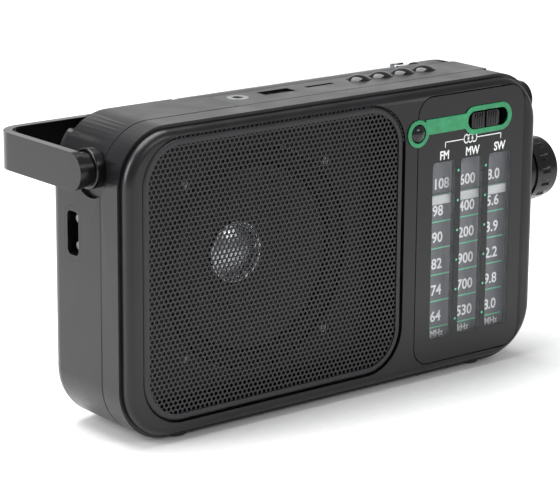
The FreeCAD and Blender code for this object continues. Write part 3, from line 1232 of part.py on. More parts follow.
def battery():
    y = "cab_depth - door_sheet - cell_gap - cell_radius"
    cells, plates = [], []
    inner = between("bay_left", "bay_right", "contact_sheet")
    for index in range(3):
        z = "bay_low + cell_gap / 2 + cell_radius + %d * (cell_radius * 2 + cell_gap)" % index
        flip = index % 2
        if flip:
            can = (inner[0] + " + cell_nub", inner[0] + " + cell_nub + cell_length")
            nub = (inner[0], can[0] + " + fit_gap")
            wire = (can[1], inner[1])
            radii = ("spring_narrow", "spring_wide")
        else:
            can = (inner[1] + " - cell_nub - cell_length", inner[1] + " - cell_nub")
            nub = (can[1] + " - fit_gap", inner[1])
            wire = (inner[0], can[0])
            radii = ("spring_wide", "spring_narrow")
        tag = str(index)
        cells.append(fuse("cell_" + tag, cylinder("cell_can_" + tag, "x", "cell_radius", can, y, z),
                          cylinder("cell_nub_" + tag, "x", "cell_tip", nub, y, z)))
        spring = taper("cell_spring_" + tag, "x", radii, wire, y, z)
        half = "-spring_wide * 1.25"
        for side, x, sprung in (("left", ("bay_left", inner[0]), not flip),
                                ("right", (inner[1], "bay_right"), flip)):
            plate = box("contact_%s_%s" % (side, tag), x, between(y, y, half), between(z, z, half))
            if sprung:
                plate = fuse("contact_sprung_" + tag, plate, spring)
            plates.append(plate)
    node("battery_cells", group("battery_cells", cells))
    node("battery_contacts", group("battery_contacts", plates))


def battery_door():
    """A lid hinged on two stubs along its lower edge."""
    high = "bay_low + cell_count * (cell_radius * 2 + cell_gap)"
    axis_y = "cab_depth - door_sheet / 2"
    axis_z = "bay_low + hinge_radius + door_gap"
    x = between("bay_left", "bay_right", "door_gap")
    y = ("cab_depth - door_sheet", "cab_depth")
    panel = box("door_panel", x, y, (axis_z, high + " - door_gap"))
    barrel = cylinder("door_barrel", "x", "hinge_radius", x, axis_y, axis_z)
    stubs = cylinder("door_stubs", "x", "trunnion_radius",
                     between("bay_left", "bay_right", "-trunnion_length"), axis_y, axis_z)
    catch = cylinder("door_finger_dish", "y", "spring_wide", "(bay_left + bay_right) / 2",
                     ("cab_depth - door_sheet / 3", "cab_depth + 1"), high + " - spring_wide / 2")
    node("battery_door", cut("battery_door_cut", fuse("door_body", panel, barrel, stubs), catch))


# --- carrying handle ---------------------------------------------------------------------

def handle():
    out = "(cab_width / 2 + handle_clear)"
    back = "pivot_y + handle_reach"
    z = between("pivot_z", "pivot_z", "-handle_width / 2")
    front = "pivot_y - handle_reach"
    outer = slab("handle_outer", "z", ("-" + out, out), (front, back), z,
                 "handle_corner")
    inner = slab("handle_inner", "z", between("-" + out, out, "handle_sheet"),
                 (front + " - handle_corner * 2", back + " - handle_sheet"),
                 between(z[0], z[1], "-1"), "handle_corner - handle_sheet")
    ahead = box("handle_ahead", between("-" + out, out, "-1"),
                (front + " - 1", "pivot_y"), between(z[0], z[1], "-1"))
    strip = cut("handle_strip", outer, inner, ahead)
    face = "cab_width / 2 - hub_scoop_depth"
    hub = face + " + hub_length"
    ends, bores, hubs, pins = [], [], [], []
    for tag, side in (("left", -1), ("right", 1)):
        def span(low, high):
            return (low, high) if side > 0 else ("-(%s)" % high, "-(%s)" % low)
        strap = out + " - handle_sheet"
        ends.append(cylinder("handle_end_" + tag, "x", "handle_width / 2",
                             span(strap, out), "pivot_y", "pivot_z"))
        ends.append(cylinder("handle_pad_" + tag, "x", "handle_boss",
                             span(hub + " + run_gap", strap + " + fit_gap"), "pivot_y", "pivot_z"))
        bores.append(cylinder("handle_bore_" + tag, "x", "pivot_radius",
                              span(hub, out + " - handle_sheet / 2"), "pivot_y", "pivot_z"))
        hubs.append(ring("handle_hub_" + tag, "x", "hub_radius", "pivot_radius + run_gap",
                         span(face, hub), "pivot_y", "pivot_z"))
        boss = face + " - pivot_inside"
        pins.append(fuse(
            "pivot_pin_" + tag,
            cylinder("pin_shank_" + tag, "x", "pivot_radius",
                     span(boss + " - clip_sheet - fit_gap * 6", out + " - handle_sheet / 2"),
                     "pivot_y", "pivot_z"),
            cylinder("pin_clip_" + tag, "x", "clip_radius",
                     span(boss + " - clip_sheet - run_gap", boss + " - run_gap"),
                     "pivot_y", "pivot_z")))
    node("carrying_handle", cut("carrying_handle_cut", fuse("handle_body", strip, *ends), *bores))
    node("handle_hubs", group("handle_hubs", hubs))
    node("pivot_pins", group("pivot_pins", pins))


# --- telescopic antenna ------------------------------------------------------------------

def antenna():
    y, z = "mast_y", "mast_z"
    collar_low = "fork_low - fork_collar - fit_gap * 2"
    fork = fuse(
        "fork_body",
        cylinder("fork_post", "z", "fork_radius", "mast_x", y,
                 ("channel_floor + run_gap", z + " + knuckle_radius + fork_collar")),
        cylinder("fork_journal", "z", "fork_journal", "mast_x", y,
                 (collar_low, "channel_floor + run_gap * 2")),
        cylinder("fork_collar", "z", "fork_radius", "mast_x", y,
                 (collar_low, "fork_low - run_gap")))
    slot = box("fork_gap", between("mast_x", "mast_x", "-fork_radius * 1.5"),
               between(y, y, "-fork_slot / 2"),
               (z + " - knuckle_radius - soft_gap", "cab_height + 1"))
    rivet = cylinder("fork_rivet", "y", "fork_pin", "mast_x",
                     between(y, y, "-fork_radius + soft_gap"), z)
    node("antenna_swivel", fuse("antenna_swivel_body", cut("fork_slotted", fork, slot), rivet))
    start = "mast_x - tube_start"
    end = start + " - tube_length"
    blade = "-fork_slot / 2 + run_gap"
    knuckle = fuse("knuckle_body",
                   cylinder("knuckle_disc", "y", "knuckle_radius", "mast_x", between(y, y, blade), z),
                   box("knuckle_neck", (start + " - fit_gap", "mast_x"), between(y, y, blade),
                       between(z, z, "-knuckle_radius")))
    tube = ring("antenna_base_tube", "x", "tube_radius", "tube_radius - tube_wall",
                (end, start + " - tube_wall"), y, z)
    plug = cylinder("antenna_plug", "x", "tube_radius",
                    (start + " - tube_wall - fit_gap", start), y, z)
    eye = cylinder("knuckle_eye", "y", "fork_pin + run_gap", "mast_x",
                   between(y, y, "-fork_slot"), z)
    node("antenna_base", cut("antenna_base_cut", fuse("antenna_base_body", knuckle, tube, plug), eye))
    step = "(tube_wall + tube_gap)"
    room = start + " - tube_wall * 2"
    for index in (1, 2, 3):
        outer = "tube_radius - %d * %s" % (index, step)
        node("antenna_section_%d" % index,
             ring("antenna_section_%d_tube" % index, "x", outer, outer + " - tube_wall",
                  (end, room + " - %d * tube_wall" % index), y, z))
    node("antenna_tip", fuse(
        "antenna_tip_body",
        cylinder("antenna_rod", "x", "tube_radius - 4 * " + step,
                 (end + " - tip_sheet", room + " - 4 * tube_wall"), y, z),
        cylinder("antenna_cap", "x", "tip_radius", (end + " - tip_length", end + " - tip_sheet / 2"),
                 y, z)))


# --- the document ------------------------------------------------------------------------

for build in (front_cabinet, rear_cabinet, fasteners, speaker_grille, speaker, dial_panel,
              green_trim, indicator, dial_scale, pointer, dial_bracket, dial_drive, dial_cord,
              tuning_knob, boards, band_switch, volume_control, top_plate, sockets,
              push_buttons, mains_inlet, transformer, ferrite_aerial, battery, battery_door,
              handle, antenna):
    build()
doc.recompute()

faulty = [obj.Name for obj in doc.Objects if "Invalid" in obj.State or "Error" in obj.State]
faulty += [obj.Label for obj in NODES if obj.Shape.isNull() or not obj.Shape.isValid()]
if faulty:
    raise SystemExit("faulty objects: " + ", ".join(faulty))

os.makedirs("parts", exist_ok=True)
for obj in NODES:
    obj.Shape.exportStep("parts/%s.step" % obj.Label)
print("%d sub-parts" % len(NODES))
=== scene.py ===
"""Look of the portable shortwave receiver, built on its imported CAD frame."""

import bpy
import math

from mathutils import Matrix, Vector


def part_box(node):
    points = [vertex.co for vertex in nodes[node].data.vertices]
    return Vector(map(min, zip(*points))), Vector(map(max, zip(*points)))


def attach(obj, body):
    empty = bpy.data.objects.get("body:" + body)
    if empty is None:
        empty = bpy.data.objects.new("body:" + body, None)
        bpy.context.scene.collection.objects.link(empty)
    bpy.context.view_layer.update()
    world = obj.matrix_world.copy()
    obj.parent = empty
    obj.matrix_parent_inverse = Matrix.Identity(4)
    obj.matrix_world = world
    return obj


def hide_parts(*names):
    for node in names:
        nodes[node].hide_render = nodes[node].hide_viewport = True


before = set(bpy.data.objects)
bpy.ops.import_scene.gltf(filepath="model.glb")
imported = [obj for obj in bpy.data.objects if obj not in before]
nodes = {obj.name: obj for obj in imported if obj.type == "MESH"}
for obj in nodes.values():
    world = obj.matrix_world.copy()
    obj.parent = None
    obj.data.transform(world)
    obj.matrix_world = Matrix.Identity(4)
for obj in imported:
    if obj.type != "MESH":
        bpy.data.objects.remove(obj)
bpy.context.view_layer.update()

MM = 0.001
CABINET = "cabinet"

# Distances that join the loose triangles of a CAD solid and flatten its plane faces.
MERGE = 0.002 * MM
FLAT_ANGLE = math.radians(0.4)
# Edges blunter than this, in degrees, are shaded as one curve.
CURVE_ANGLE = 35
CABINET_CORNER = 18.0 * MM
SEAM_GROOVE = 0.35 * MM
SEAM_REACH = 0.02 * MM
OUTER_EDGE = 0.05 * MM


# --- small helpers -----------------------------------------------------------------------

def linear(hex_colour):
    """Turns an sRGB hex colour to the linear colour that a shader takes."""
    parts = [int(hex_colour[i:i + 2], 16) / 255 for i in (1, 3, 5)]
    flat = [c / 12.92 if c <= 0.04045 else ((c + 0.055) / 1.055) ** 2.4 for c in parts]
    return (*flat, 1.0)


def node(tree, kind, links=None, values=None, **fields):
    """Adds a shader node: fields are its own settings, values its inputs, links what feeds them."""
    made = tree.nodes.new(kind)
    for name, value in fields.items():
        setattr(made, name, value)
    for name, value in (values or {}).items():
        made.inputs[name].default_value = value
    for name, source in (links or {}).items():
        tree.links.new(source, made.inputs[name])
    return made


def clear_selection():
    if bpy.context.object and bpy.context.object.mode != "OBJECT":
        bpy.ops.object.mode_set(mode="OBJECT")
    bpy.ops.object.select_all(action="DESELECT")


def only(obj):
    clear_selection()
    obj.select_set(True)
    bpy.context.view_layer.objects.active = obj


def finish_piece(obj, name, material, body=CABINET):
    """Names a finished piece, gives it its material and lets it ride on its body."""
    only(obj)
    bpy.ops.object.transform_apply(location=True, rotation=True, scale=True)
    obj.name = name
    obj.data.name = name
    obj.data.materials.clear()
    obj.data.materials.append(material)
    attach(obj, body)


def apply_modifier(obj, kind, **settings):
    modifier = obj.modifiers.new(kind.title(), kind)
    for name, value in settings.items():
        setattr(modifier, name, value)
    only(obj)
    bpy.ops.object.modifier_apply(modifier=modifier.name)


def smooth(obj, degrees=CURVE_ANGLE):
    only(obj)
    bpy.ops.object.shade_smooth_by_angle(angle=math.radians(degrees))


def smooth_curves(obj):
    """Smooth curves beside flat faces that stay flat to the eye."""
    smooth(obj)
    apply_modifier(obj, "WEIGHTED_NORMAL", keep_sharp=True, weight=60)


def cad_copy(cad):
    """A free copy of a CAD solid, with its triangles joined into whole faces."""
    copy = nodes[cad].copy()
    copy.data = nodes[cad].data.copy()
    for key in list(copy.keys()):
        del copy[key]
    copy.parent = None
    bpy.context.scene.collection.objects.link(copy)
    only(copy)
    bpy.ops.object.mode_set(mode="EDIT")
    bpy.ops.mesh.select_all(action="SELECT")
    bpy.ops.mesh.remove_doubles(threshold=MERGE)
    bpy.ops.mesh.dissolve_limited(angle_limit=FLAT_ANGLE)
    bpy.ops.object.mode_set(mode="OBJECT")
    return copy


def join(pieces):
    clear_selection()
    for piece in pieces:
        piece.select_set(True)
    bpy.context.view_layer.objects.active = pieces[0]
    bpy.ops.object.join()
    return bpy.context.object


# --- materials ---------------------------------------------------------------------------

def moulded(name, dark, light, rough, grain_mm, depth_mm, patch_mm=14.0, metallic=0.0,
            coat=0.0, ior=1.5, level=0.5, stretch=(1, 1, 1)):
    """A surface with a fine grain, and slow changes of tone and of polish over it."""
    material = bpy.data.materials.new(name)
    material.use_nodes = True
    tree = material.node_tree
    tree.nodes.clear()
    place = node(tree, "ShaderNodeTexCoord").outputs["Object"]
    mapped = node(tree, "ShaderNodeMapping", {"Vector": place}, {"Scale": stretch}).outputs[0]
    grain = node(tree, "ShaderNodeTexNoise", {"Vector": mapped},
                 {"Scale": 1 / (grain_mm * MM), "Detail": 3.0, "Roughness": 0.6})
    patch = node(tree, "ShaderNodeTexNoise", {"Vector": mapped},
                 {"Scale": 1 / (patch_mm * MM), "Detail": 2.0, "Roughness": 0.5})
    tone = node(tree, "ShaderNodeMath", {0: grain.outputs["Fac"], 1: patch.outputs["Fac"]},
                operation="MULTIPLY")
    ramp = node(tree, "ShaderNodeValToRGB", {"Fac": tone.outputs[0]})
    ramp.color_ramp.elements[0].position = 0.12
    ramp.color_ramp.elements[0].color = linear(dark)
    ramp.color_ramp.elements[1].position = 0.42
    ramp.color_ramp.elements[1].color = linear(light)
    polish = node(tree, "ShaderNodeMapRange", {"Value": patch.outputs["Fac"]},
                  {"From Min": 0.3, "From Max": 0.7, "To Min": rough[0], "To Max": rough[1]})
    bump = node(tree, "ShaderNodeBump", {"Height": grain.outputs["Fac"]},
                {"Strength": 0.6, "Distance": depth_mm * MM})
    shader = node(tree, "ShaderNodeBsdfPrincipled",
                  {"Base Color": ramp.outputs["Color"], "Roughness": polish.outputs["Result"],
                   "Normal": bump.outputs["Normal"]},
                  {"Metallic": metallic, "Coat Weight": coat, "IOR": ior,
                   "Specular IOR Level": level})
    node(tree, "ShaderNodeOutputMaterial", {"Surface": shader.outputs["BSDF"]})
    return material


def clear_moulding(name, tint, rough, alpha):
    """Clear acrylic: mostly what lies behind it shows, with a sharp reflection on top."""
    material = moulded(name, tint, tint, rough, 6.0, 0.002, 20.0)
    shader = next(n for n in material.node_tree.nodes if n.type == "BSDF_PRINCIPLED")
    shader.inputs["Alpha"].default_value = alpha
    return material


# Spark-eroded black ABS: an even fine grain of about 0.35 mm that breaks up its sheen.
black_abs = moulded("moulded_black_abs", "#08080a", "#111114", (0.26, 0.36), 0.35, 0.006,
                     level=0.4)
# Polished black ABS of the dial panel and the buttons: deep, with sharp lights.
gloss_abs = moulded("polished_black_abs", "#050506", "#0b0b0d", (0.06, 0.11), 1.6, 0.0012, 22.0,
                    level=0.4)
# Satin black ABS of the handle, the knob and the slider: softer lights than the panel's.
satin_abs = moulded("satin_black_abs", "#060607", "#0d0d0f", (0.17, 0.26), 0.5, 0.004,
                     level=0.4)
# Punched sheet steel with a satin black enamel, its tone varying a little at random.
grille_enamel = moulded("enamelled_punched_steel", "#141417", "#232326", (0.32, 0.44), 0.3, 0.004,
                         level=0.45)
# Emerald green moulded plastic, glossy.
green_abs = moulded("polished_green_abs", "#0c7c4b", "#189c63", (0.12, 0.2), 1.2, 0.002, 9.0,
                    coat=0.2)
# White and green pad-printed ink: flat, with a faint unevenness.
white_ink = moulded("white_printing_ink", "#eceeee", "#fbfcfc", (0.45, 0.55), 0.4, 0.001)
green_ink = moulded("green_printing_ink", "#4cc48d", "#6fdcaa", (0.45, 0.55), 0.4, 0.001)
# Satin silver film on the dial plate, its brushing drawn out along the scale.
silver_film = moulded("brushed_silver_film", "#4a4b50", "#6c6e74", (0.3, 0.42), 0.5, 0.004,
                      9.0, stretch=(4, 4, 0.3))
# Pale acetal of the pointer, the pulleys and the drum.
acetal = moulded("moulded_pale_acetal", "#bcbfc0", "#dfe1e1", (0.3, 0.4), 0.4, 0.004)
# Bright chromium plating of the antenna.
chromium = moulded("bright_chromium_plate", "#b9bbbe", "#e4e6e8", (0.08, 0.16), 0.8, 0.002,
                   8.0, metallic=1.0)
# Zinc-plated steel of screws, brackets and sockets: dull silver with cloudy patches.
zinc_steel = moulded("zinc_plated_steel", "#8b8d8f", "#b4b6b8", (0.28, 0.42), 0.5, 0.004, 4.0,
                     metallic=1.0)
# Nickel-plated steel of the socket's shell, dark because it sits in the shade of its slot.
dark_nickel = moulded("dark_nickel_plate", "#2c2d2f", "#47484b", (0.3, 0.4), 0.5, 0.003, 4.0,
                      metallic=1.0)
# Aluminised film of the dust cap: pale silver with a soft broad light.
silvered_film = moulded("aluminised_dome_film", "#c9cbce", "#eceef0", (0.22, 0.3), 0.8, 0.004, 6.0,
                        metallic=1.0)
# Brass of the coil's wire.
brass = moulded("drawn_brass", "#a27c3c", "#cfa964", (0.2, 0.3), 0.4, 0.003, 4.0, metallic=1.0)
# Black dyed pressed paper of the cone, with its fibres.
cone_paper = moulded("pressed_cone_paper", "#2c2c2e", "#4b4b4d", (0.6, 0.8), 0.7, 0.06)
# Moulded rubber of the feet and the surround: matt and slightly grey.
rubber = moulded("moulded_rubber", "#19191a", "#2a2a2b", (0.65, 0.8), 0.5, 0.02)
# Varnished woven cloth of the spider.
cloth = moulded("varnished_spider_cloth", "#8a6a34", "#b08d52", (0.6, 0.75), 0.5, 0.05)
# Pressed ferrite of the magnet and the rod: dark grey, with a fine ground surface.
ferrite = moulded("pressed_ferrite", "#2b2b2e", "#414145", (0.4, 0.55), 0.5, 0.02)
# Green soldered laminate of the boards.
laminate = moulded("green_soldered_laminate", "#14532f", "#1f7443", (0.3, 0.45), 1.8, 0.02, 5.0)
# Lacquered steel of the cells.
lacquer = moulded("lacquered_cell_steel", "#2c3550", "#42507a", (0.2, 0.3), 1.0, 0.003)
# Varnished laminations of the transformer.
core_steel = moulded("varnished_core_steel", "#4a443d", "#6b645b", (0.35, 0.5), 0.5, 0.03,
                     stretch=(0.3, 6, 0.3))
# Clear acrylic of the dial windows and the lamp lens.
window_acrylic = clear_moulding("clear_window_acrylic", "#c9ccd0", (0.04, 0.08), 0.07)
lens_acrylic = clear_moulding("smoked_lens_acrylic", "#101215", (0.03, 0.06), 0.88)

FINISHES = {
    black_abs: ["mains_inlet", "card_socket", "battery_door"],
    rubber: ["rubber_feet", "speaker_surround"],
    silver_film: ["dial_scale"],
    acetal: ["dial_pointer", "tuning_drum", "cord_pulley_upper", "cord_pulley_lower",
             "tuning_capacitor", "spindle_bush", "dial_cord"],
    zinc_steel: ["dial_bracket", "speaker_basket", "speaker_yoke", "inner_screws",
                 "battery_contacts", "tuning_spindle", "headphone_jack", "inlet_pins"],
    dark_nickel: ["usb_socket"],
    brass: ["voice_coil"],
    cone_paper: ["speaker_cone"],
    cloth: ["speaker_spider"],
    ferrite: ["speaker_magnet", "ferrite_aerial"],
    laminate: ["main_board", "media_board", "power_board", "volume_control"],
    lacquer: ["battery_cells"],
    core_steel: ["mains_transformer"],
    lens_acrylic: ["indicator_lamps"],
    window_acrylic: ["dial_windows"],
}
for finish, names in FINISHES.items():
    for name in names:
        nodes[name].data.materials.clear()
        nodes[name].data.materials.append(finish)


def inside(point, box, corner, margin):
    """True where a point of the front lies inside a rounded rectangle by at least the margin."""
    low, high = box
    over = [abs(value - (a + b) / 2) - ((b - a) / 2 - corner)
            for value, a, b in ((point.x, low.x, high.x), (point.z, low.z, high.z))]
    beyond = math.hypot(max(over[0], 0), max(over[1], 0)) + min(max(over), 0) - corner
    return beyond < -margin


# --- pieces refined from their CAD solids ------------------------------------------------

def refined(cad, name, material, body=CABINET, bevel_mm=0.25, segments=2, angle=28):
    """A copy of a CAD solid with its flat faces joined, its edges eased and its curves smooth."""
    copy = cad_copy(cad)
    if bevel_mm:
        apply_modifier(copy, "BEVEL", width=bevel_mm * MM, segments=segments,
                       limit_method="ANGLE", angle_limit=math.radians(angle),
                       use_clamp_overlap=True)
    smooth_curves(copy)
    finish_piece(copy, name, material, body)
    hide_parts(cad)
    return copy


def ease_seam(shell):
    """Bevels a shell's outer edge where it meets the other shell, which leaves a fine groove."""
    low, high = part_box("front_cabinet")
    seam = high.y
    only(shell)
    bpy.ops.object.mode_set(mode="EDIT")
    bpy.ops.mesh.select_mode(type="EDGE")
    bpy.ops.mesh.select_all(action="DESELECT")
    bpy.ops.object.mode_set(mode="OBJECT")
    points = shell.data.vertices
    for edge in shell.data.edges:
        ends = [points[index].co for index in edge.vertices]
        edge.select = all(abs(end.y - seam) < SEAM_REACH
                          and not inside(end, (low, high), CABINET_CORNER, OUTER_EDGE)
                          for end in ends)
    bpy.ops.object.mode_set(mode="EDIT")
    bpy.ops.mesh.bevel(offset=SEAM_GROOVE, segments=1, clamp_overlap=False)
    bpy.ops.object.mode_set(mode="OBJECT")
    smooth_curves(shell)


front_shell = refined("front_cabinet", "front_shell", black_abs, bevel_mm=0)
rear_shell = refined("rear_cabinet", "rear_shell", black_abs, bevel_mm=0)
ease_seam(front_shell)
ease_seam(rear_shell)
refined("top_plate", "control_plate", black_abs, bevel_mm=0.15)
refined("dial_panel", "dial_fascia", gloss_abs, bevel_mm=0.25)
refined("green_trim", "green_surround", green_abs, bevel_mm=0.18, segments=3)
refined("indicator_lens", "lamp_lens", lens_acrylic, bevel_mm=0)
refined("carrying_handle", "bail_handle", satin_abs, "handle", 0.7, 4)
refined("handle_hubs", "hub_discs", satin_abs, bevel_mm=0.5, segments=3)
refined("tuning_knob", "tuning_grip", satin_abs, "knob", 0.3, 3)
refined("volume_wheel", "volume_disc", satin_abs, "wheel", 0.3, 2)
refined("dust_cap", "cone_dome", silvered_film, "cone", 0)
refined("pivot_pins", "handle_pins", zinc_steel, "handle", 0.15, 2)
refined("cabinet_screws", "case_screws", zinc_steel, bevel_mm=0.2)
for part, body in (("antenna_swivel", "swivel"), ("antenna_base", "mast"),
                   ("antenna_section_1", "section_1"), ("antenna_section_2", "section_2"),
                   ("antenna_section_3", "section_3"), ("antenna_tip", "tip")):
    refined(part, part.replace("antenna", "aerial"), chromium, body, 0.08, 2)


def dome_rim():
    """The bright glued edge round the dust cap: a low ring with a rounded section."""
    rise = 0.7 * MM
    overlap = 0.2 * MM
    thickness = 0.55 * MM
    low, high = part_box("dust_cap")
    clear_selection()
    bpy.ops.mesh.primitive_torus_add(major_segments=64, minor_segments=12,
                                     location=((low.x + high.x) / 2, high.y - rise,
                                               (low.z + high.z) / 2),
                                     rotation=(math.pi / 2, 0, 0),
                                     major_radius=(high.x - low.x) / 2 + overlap,
                                     minor_radius=thickness)
    ring = bpy.context.object
    smooth(ring, 60)
    finish_piece(ring, "cone_dome_rim", silvered_film, "cone")


dome_rim()
for body in ("previous", "play", "next", "mode"):
    refined("button_" + body, body + "_key", gloss_abs, body, 0.35, 3)


# --- perforated grille -------------------------------------------------------------------

HOLE_PITCH = 1.755 * MM
HOLE_ACROSS = 1.22 * MM
GRILLE_SHEET = 0.45 * MM
GRILLE_CORNER = 15.0 * MM
GRILLE_RECESS = 0.3 * MM
GRILLE_RIM = 1.1 * MM
EDGE_MARGIN = 1.42 * MM
CELL_SIDES = 6


def add_array(obj, count, step):
    apply_modifier(obj, "ARRAY", count=count, use_relative_offset=False,
                   use_constant_offset=True, constant_offset_displace=step)


def perforated_sheet():
    """One hexagonal cell with its hole, repeated over the grille and trimmed to its outline."""
    low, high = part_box("speaker_grille")
    clear_selection()
    bpy.ops.mesh.primitive_circle_add(vertices=CELL_SIDES, radius=HOLE_PITCH / math.sqrt(3),
                                      fill_type="NGON",
                                      location=(low.x, low.y + GRILLE_RECESS, low.z),
                                      rotation=(math.pi / 2, 0, 0))
    sheet = bpy.context.object
    only(sheet)
    bpy.ops.object.transform_apply(location=True, rotation=True, scale=True)
    bpy.ops.object.mode_set(mode="EDIT")
    bpy.ops.mesh.select_all(action="SELECT")
    bpy.ops.mesh.inset(thickness=(HOLE_PITCH - HOLE_ACROSS) / 2)
    bpy.ops.mesh.delete(type="FACE")
    bpy.ops.mesh.select_all(action="SELECT")
    bpy.ops.mesh.duplicate()
    row = HOLE_PITCH * math.sqrt(0.75)
    bpy.ops.transform.translate(value=(HOLE_PITCH / 2, 0, row))
    bpy.ops.object.mode_set(mode="OBJECT")
    add_array(sheet, round((high.x - low.x) / HOLE_PITCH) + 1, (HOLE_PITCH, 0, 0))
    add_array(sheet, round((high.z - low.z) / row / 2) + 1, (0, 0, row * 2))
    only(sheet)
    bpy.ops.object.mode_set(mode="EDIT")
    bpy.ops.mesh.select_all(action="DESELECT")
    bpy.ops.mesh.select_mode(type="FACE")
    bpy.ops.object.mode_set(mode="OBJECT")
    faces = sheet.data.polygons
    for first in range(0, len(faces), CELL_SIDES):
        ring = faces[first:first + CELL_SIDES]
        middle = sum((face.center for face in ring), Vector()) / CELL_SIDES
        for face in ring:
            face.select = not inside(middle, (low, high), GRILLE_CORNER, EDGE_MARGIN)
    bpy.ops.object.mode_set(mode="EDIT")
    bpy.ops.mesh.delete(type="FACE")
    bpy.ops.mesh.select_all(action="SELECT")
    bpy.ops.mesh.remove_doubles(threshold=0.01 * MM)
    bpy.ops.mesh.normals_make_consistent(inside=False)
    bpy.ops.object.mode_set(mode="OBJECT")
    if sheet.data.polygons[0].normal.y > 0:
        only(sheet)
        bpy.ops.object.mode_set(mode="EDIT")
        bpy.ops.mesh.select_all(action="SELECT")
        bpy.ops.mesh.flip_normals()
        bpy.ops.object.mode_set(mode="OBJECT")
    apply_modifier(sheet, "SOLIDIFY", thickness=GRILLE_SHEET, offset=-1)
    finish_piece(sheet, "perforated_grille", grille_enamel)
    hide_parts("speaker_grille")


def grille_rim():
    """The rolled edge of the grille: its tray with the middle of both faces opened."""
    rim = cad_copy("speaker_grille")
    bpy.ops.object.mode_set(mode="EDIT")
    bpy.ops.mesh.select_all(action="DESELECT")
    bpy.ops.mesh.select_mode(type="FACE")
    bpy.ops.object.mode_set(mode="OBJECT")
    wide = sorted(rim.data.polygons, key=lambda face: -face.area)[:2]
    for face in wide:
        face.select = True
    bpy.ops.object.mode_set(mode="EDIT")
    bpy.ops.mesh.inset(thickness=GRILLE_RIM)
    bpy.ops.mesh.bridge_edge_loops()
    bpy.ops.object.mode_set(mode="OBJECT")
    smooth_curves(rim)
    finish_piece(rim, "grille_rolled_rim", grille_enamel)
    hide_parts("speaker_grille")


grille_rim()
perforated_sheet()


# --- printing on the dial ----------------------------------------------------------------

# Part-frame distances of the dial, in millimetres where they aren't already in metres.
UNDERSIDE = 1.0
INK_LIFT = 0.012 * MM
SCALE_RIM = 1.0 * MM
PANEL_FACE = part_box("dial_panel")[0].y - INK_LIFT
SCALE_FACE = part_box("dial_scale")[0].y + SCALE_RIM - INK_LIFT
INK_MM = 0.02
CAPITAL_SHARE = 0.71
DIGIT_WIDTH = 0.96
BAND_WIDTH = 0.84
WINDOW_LEFT = 38.0
WINDOW_RIGHT = 74.6
WINDOW_PITCH = 12.65
FIRST_LINE = 61.06 + UNDERSIDE
LINE_PITCH = 9.18
HALF_LINE = 0.22
SCALES = [(["108", "98", "90", "82", "74", "64"], "MHz"),
          (["1600", "1400", "1200", "900", "700", "530"], "kHz"),
          (["18.0", "15.6", "13.9", "12.2", "9.8", "8.0"], "MHz")]
ROWS = 6
DIGITS_AT = [(41.8, "LEFT"), (48.35, "RIGHT"), (47.0, "RIGHT")]
DIGIT_HEIGHT = 3.6
DIGIT_LIFT = 2.1
UNIT_HEIGHT = 2.3
UNIT_DROP = 3.3
DOTS_AT = (49.5, 61.95)
DOT_RADIUS = 0.42
FIRST_DOT = 69.6 + UNDERSIDE
DOT_PITCH = 10.28
BANDS = ["FM", "MW", "SW"]
BANDS_AT = (43.0, 55.6, 68.0)
BAND_LEVEL = 74.2 + UNDERSIDE
BAND_HEIGHT = 2.9
BRACKET_TOP = 79.9 + UNDERSIDE
BRACKET_FOOT = 78.1 + UNDERSIDE
BRACKET_BARS = ((43.1, 51.6), (57.4, 68.6))
BRACKET_FEET = (43.26, 68.44)
HALF_BAR = 0.16
OVALS_AT = (52.7, 54.5, 56.3)
OVAL_RADIUS = 1.25
OVAL_RING = 0.34
OVAL_STRETCH = 1.3


def lettering(text, x, y, z, height, narrow=DIGIT_WIDTH, align="LEFT"):
    """Printed characters, standing on z and starting or centred at x."""
    clear_selection()
    bpy.ops.object.text_add(location=(x * MM, y, z * MM), rotation=(math.pi / 2, 0, 0))
    obj = bpy.context.object
    obj.data.body = text
    obj.data.size = height * MM / CAPITAL_SHARE
    obj.data.align_x = align
    obj.data.extrude = INK_MM / 2 * MM
    obj.data.offset = 0.1 * MM
    obj.data.resolution_u = 3
    only(obj)
    bpy.ops.object.convert(target="MESH")
    obj = bpy.context.object
    obj.scale = (narrow, 1, 1)
    bpy.ops.object.transform_apply(location=True, rotation=True, scale=True)
    return obj


def stroke(x0, x1, z0, z1, y):
    """A printed line, as a thin raised strip."""
    clear_selection()
    bpy.ops.mesh.primitive_cube_add(size=1, location=((x0 + x1) / 2 * MM, y, (z0 + z1) / 2 * MM),
                                    scale=((x1 - x0) * MM, INK_MM * MM, (z1 - z0) * MM))
    return bpy.context.object


def spot(x, z, y, radius, ring=0.0, stretch=1.0):
    """A printed dot, or a printed ring where its middle is opened."""
    clear_selection()
    bpy.ops.mesh.primitive_circle_add(vertices=20, radius=radius * MM, fill_type="NGON",
                                      location=(x * MM, y, z * MM), rotation=(math.pi / 2, 0, 0))
    obj = bpy.context.object
    bpy.ops.object.mode_set(mode="EDIT")
    bpy.ops.mesh.select_all(action="SELECT")
    if ring:
        bpy.ops.mesh.inset(thickness=ring * MM)
        bpy.ops.mesh.delete(type="FACE")
        bpy.ops.mesh.select_all(action="SELECT")
    bpy.ops.object.mode_set(mode="OBJECT")
    obj.scale = (1, stretch, 1)
    only(obj)
    bpy.ops.object.transform_apply(location=True, rotation=True, scale=True)
    apply_modifier(obj, "SOLIDIFY", thickness=INK_MM * MM, offset=0)
    return obj


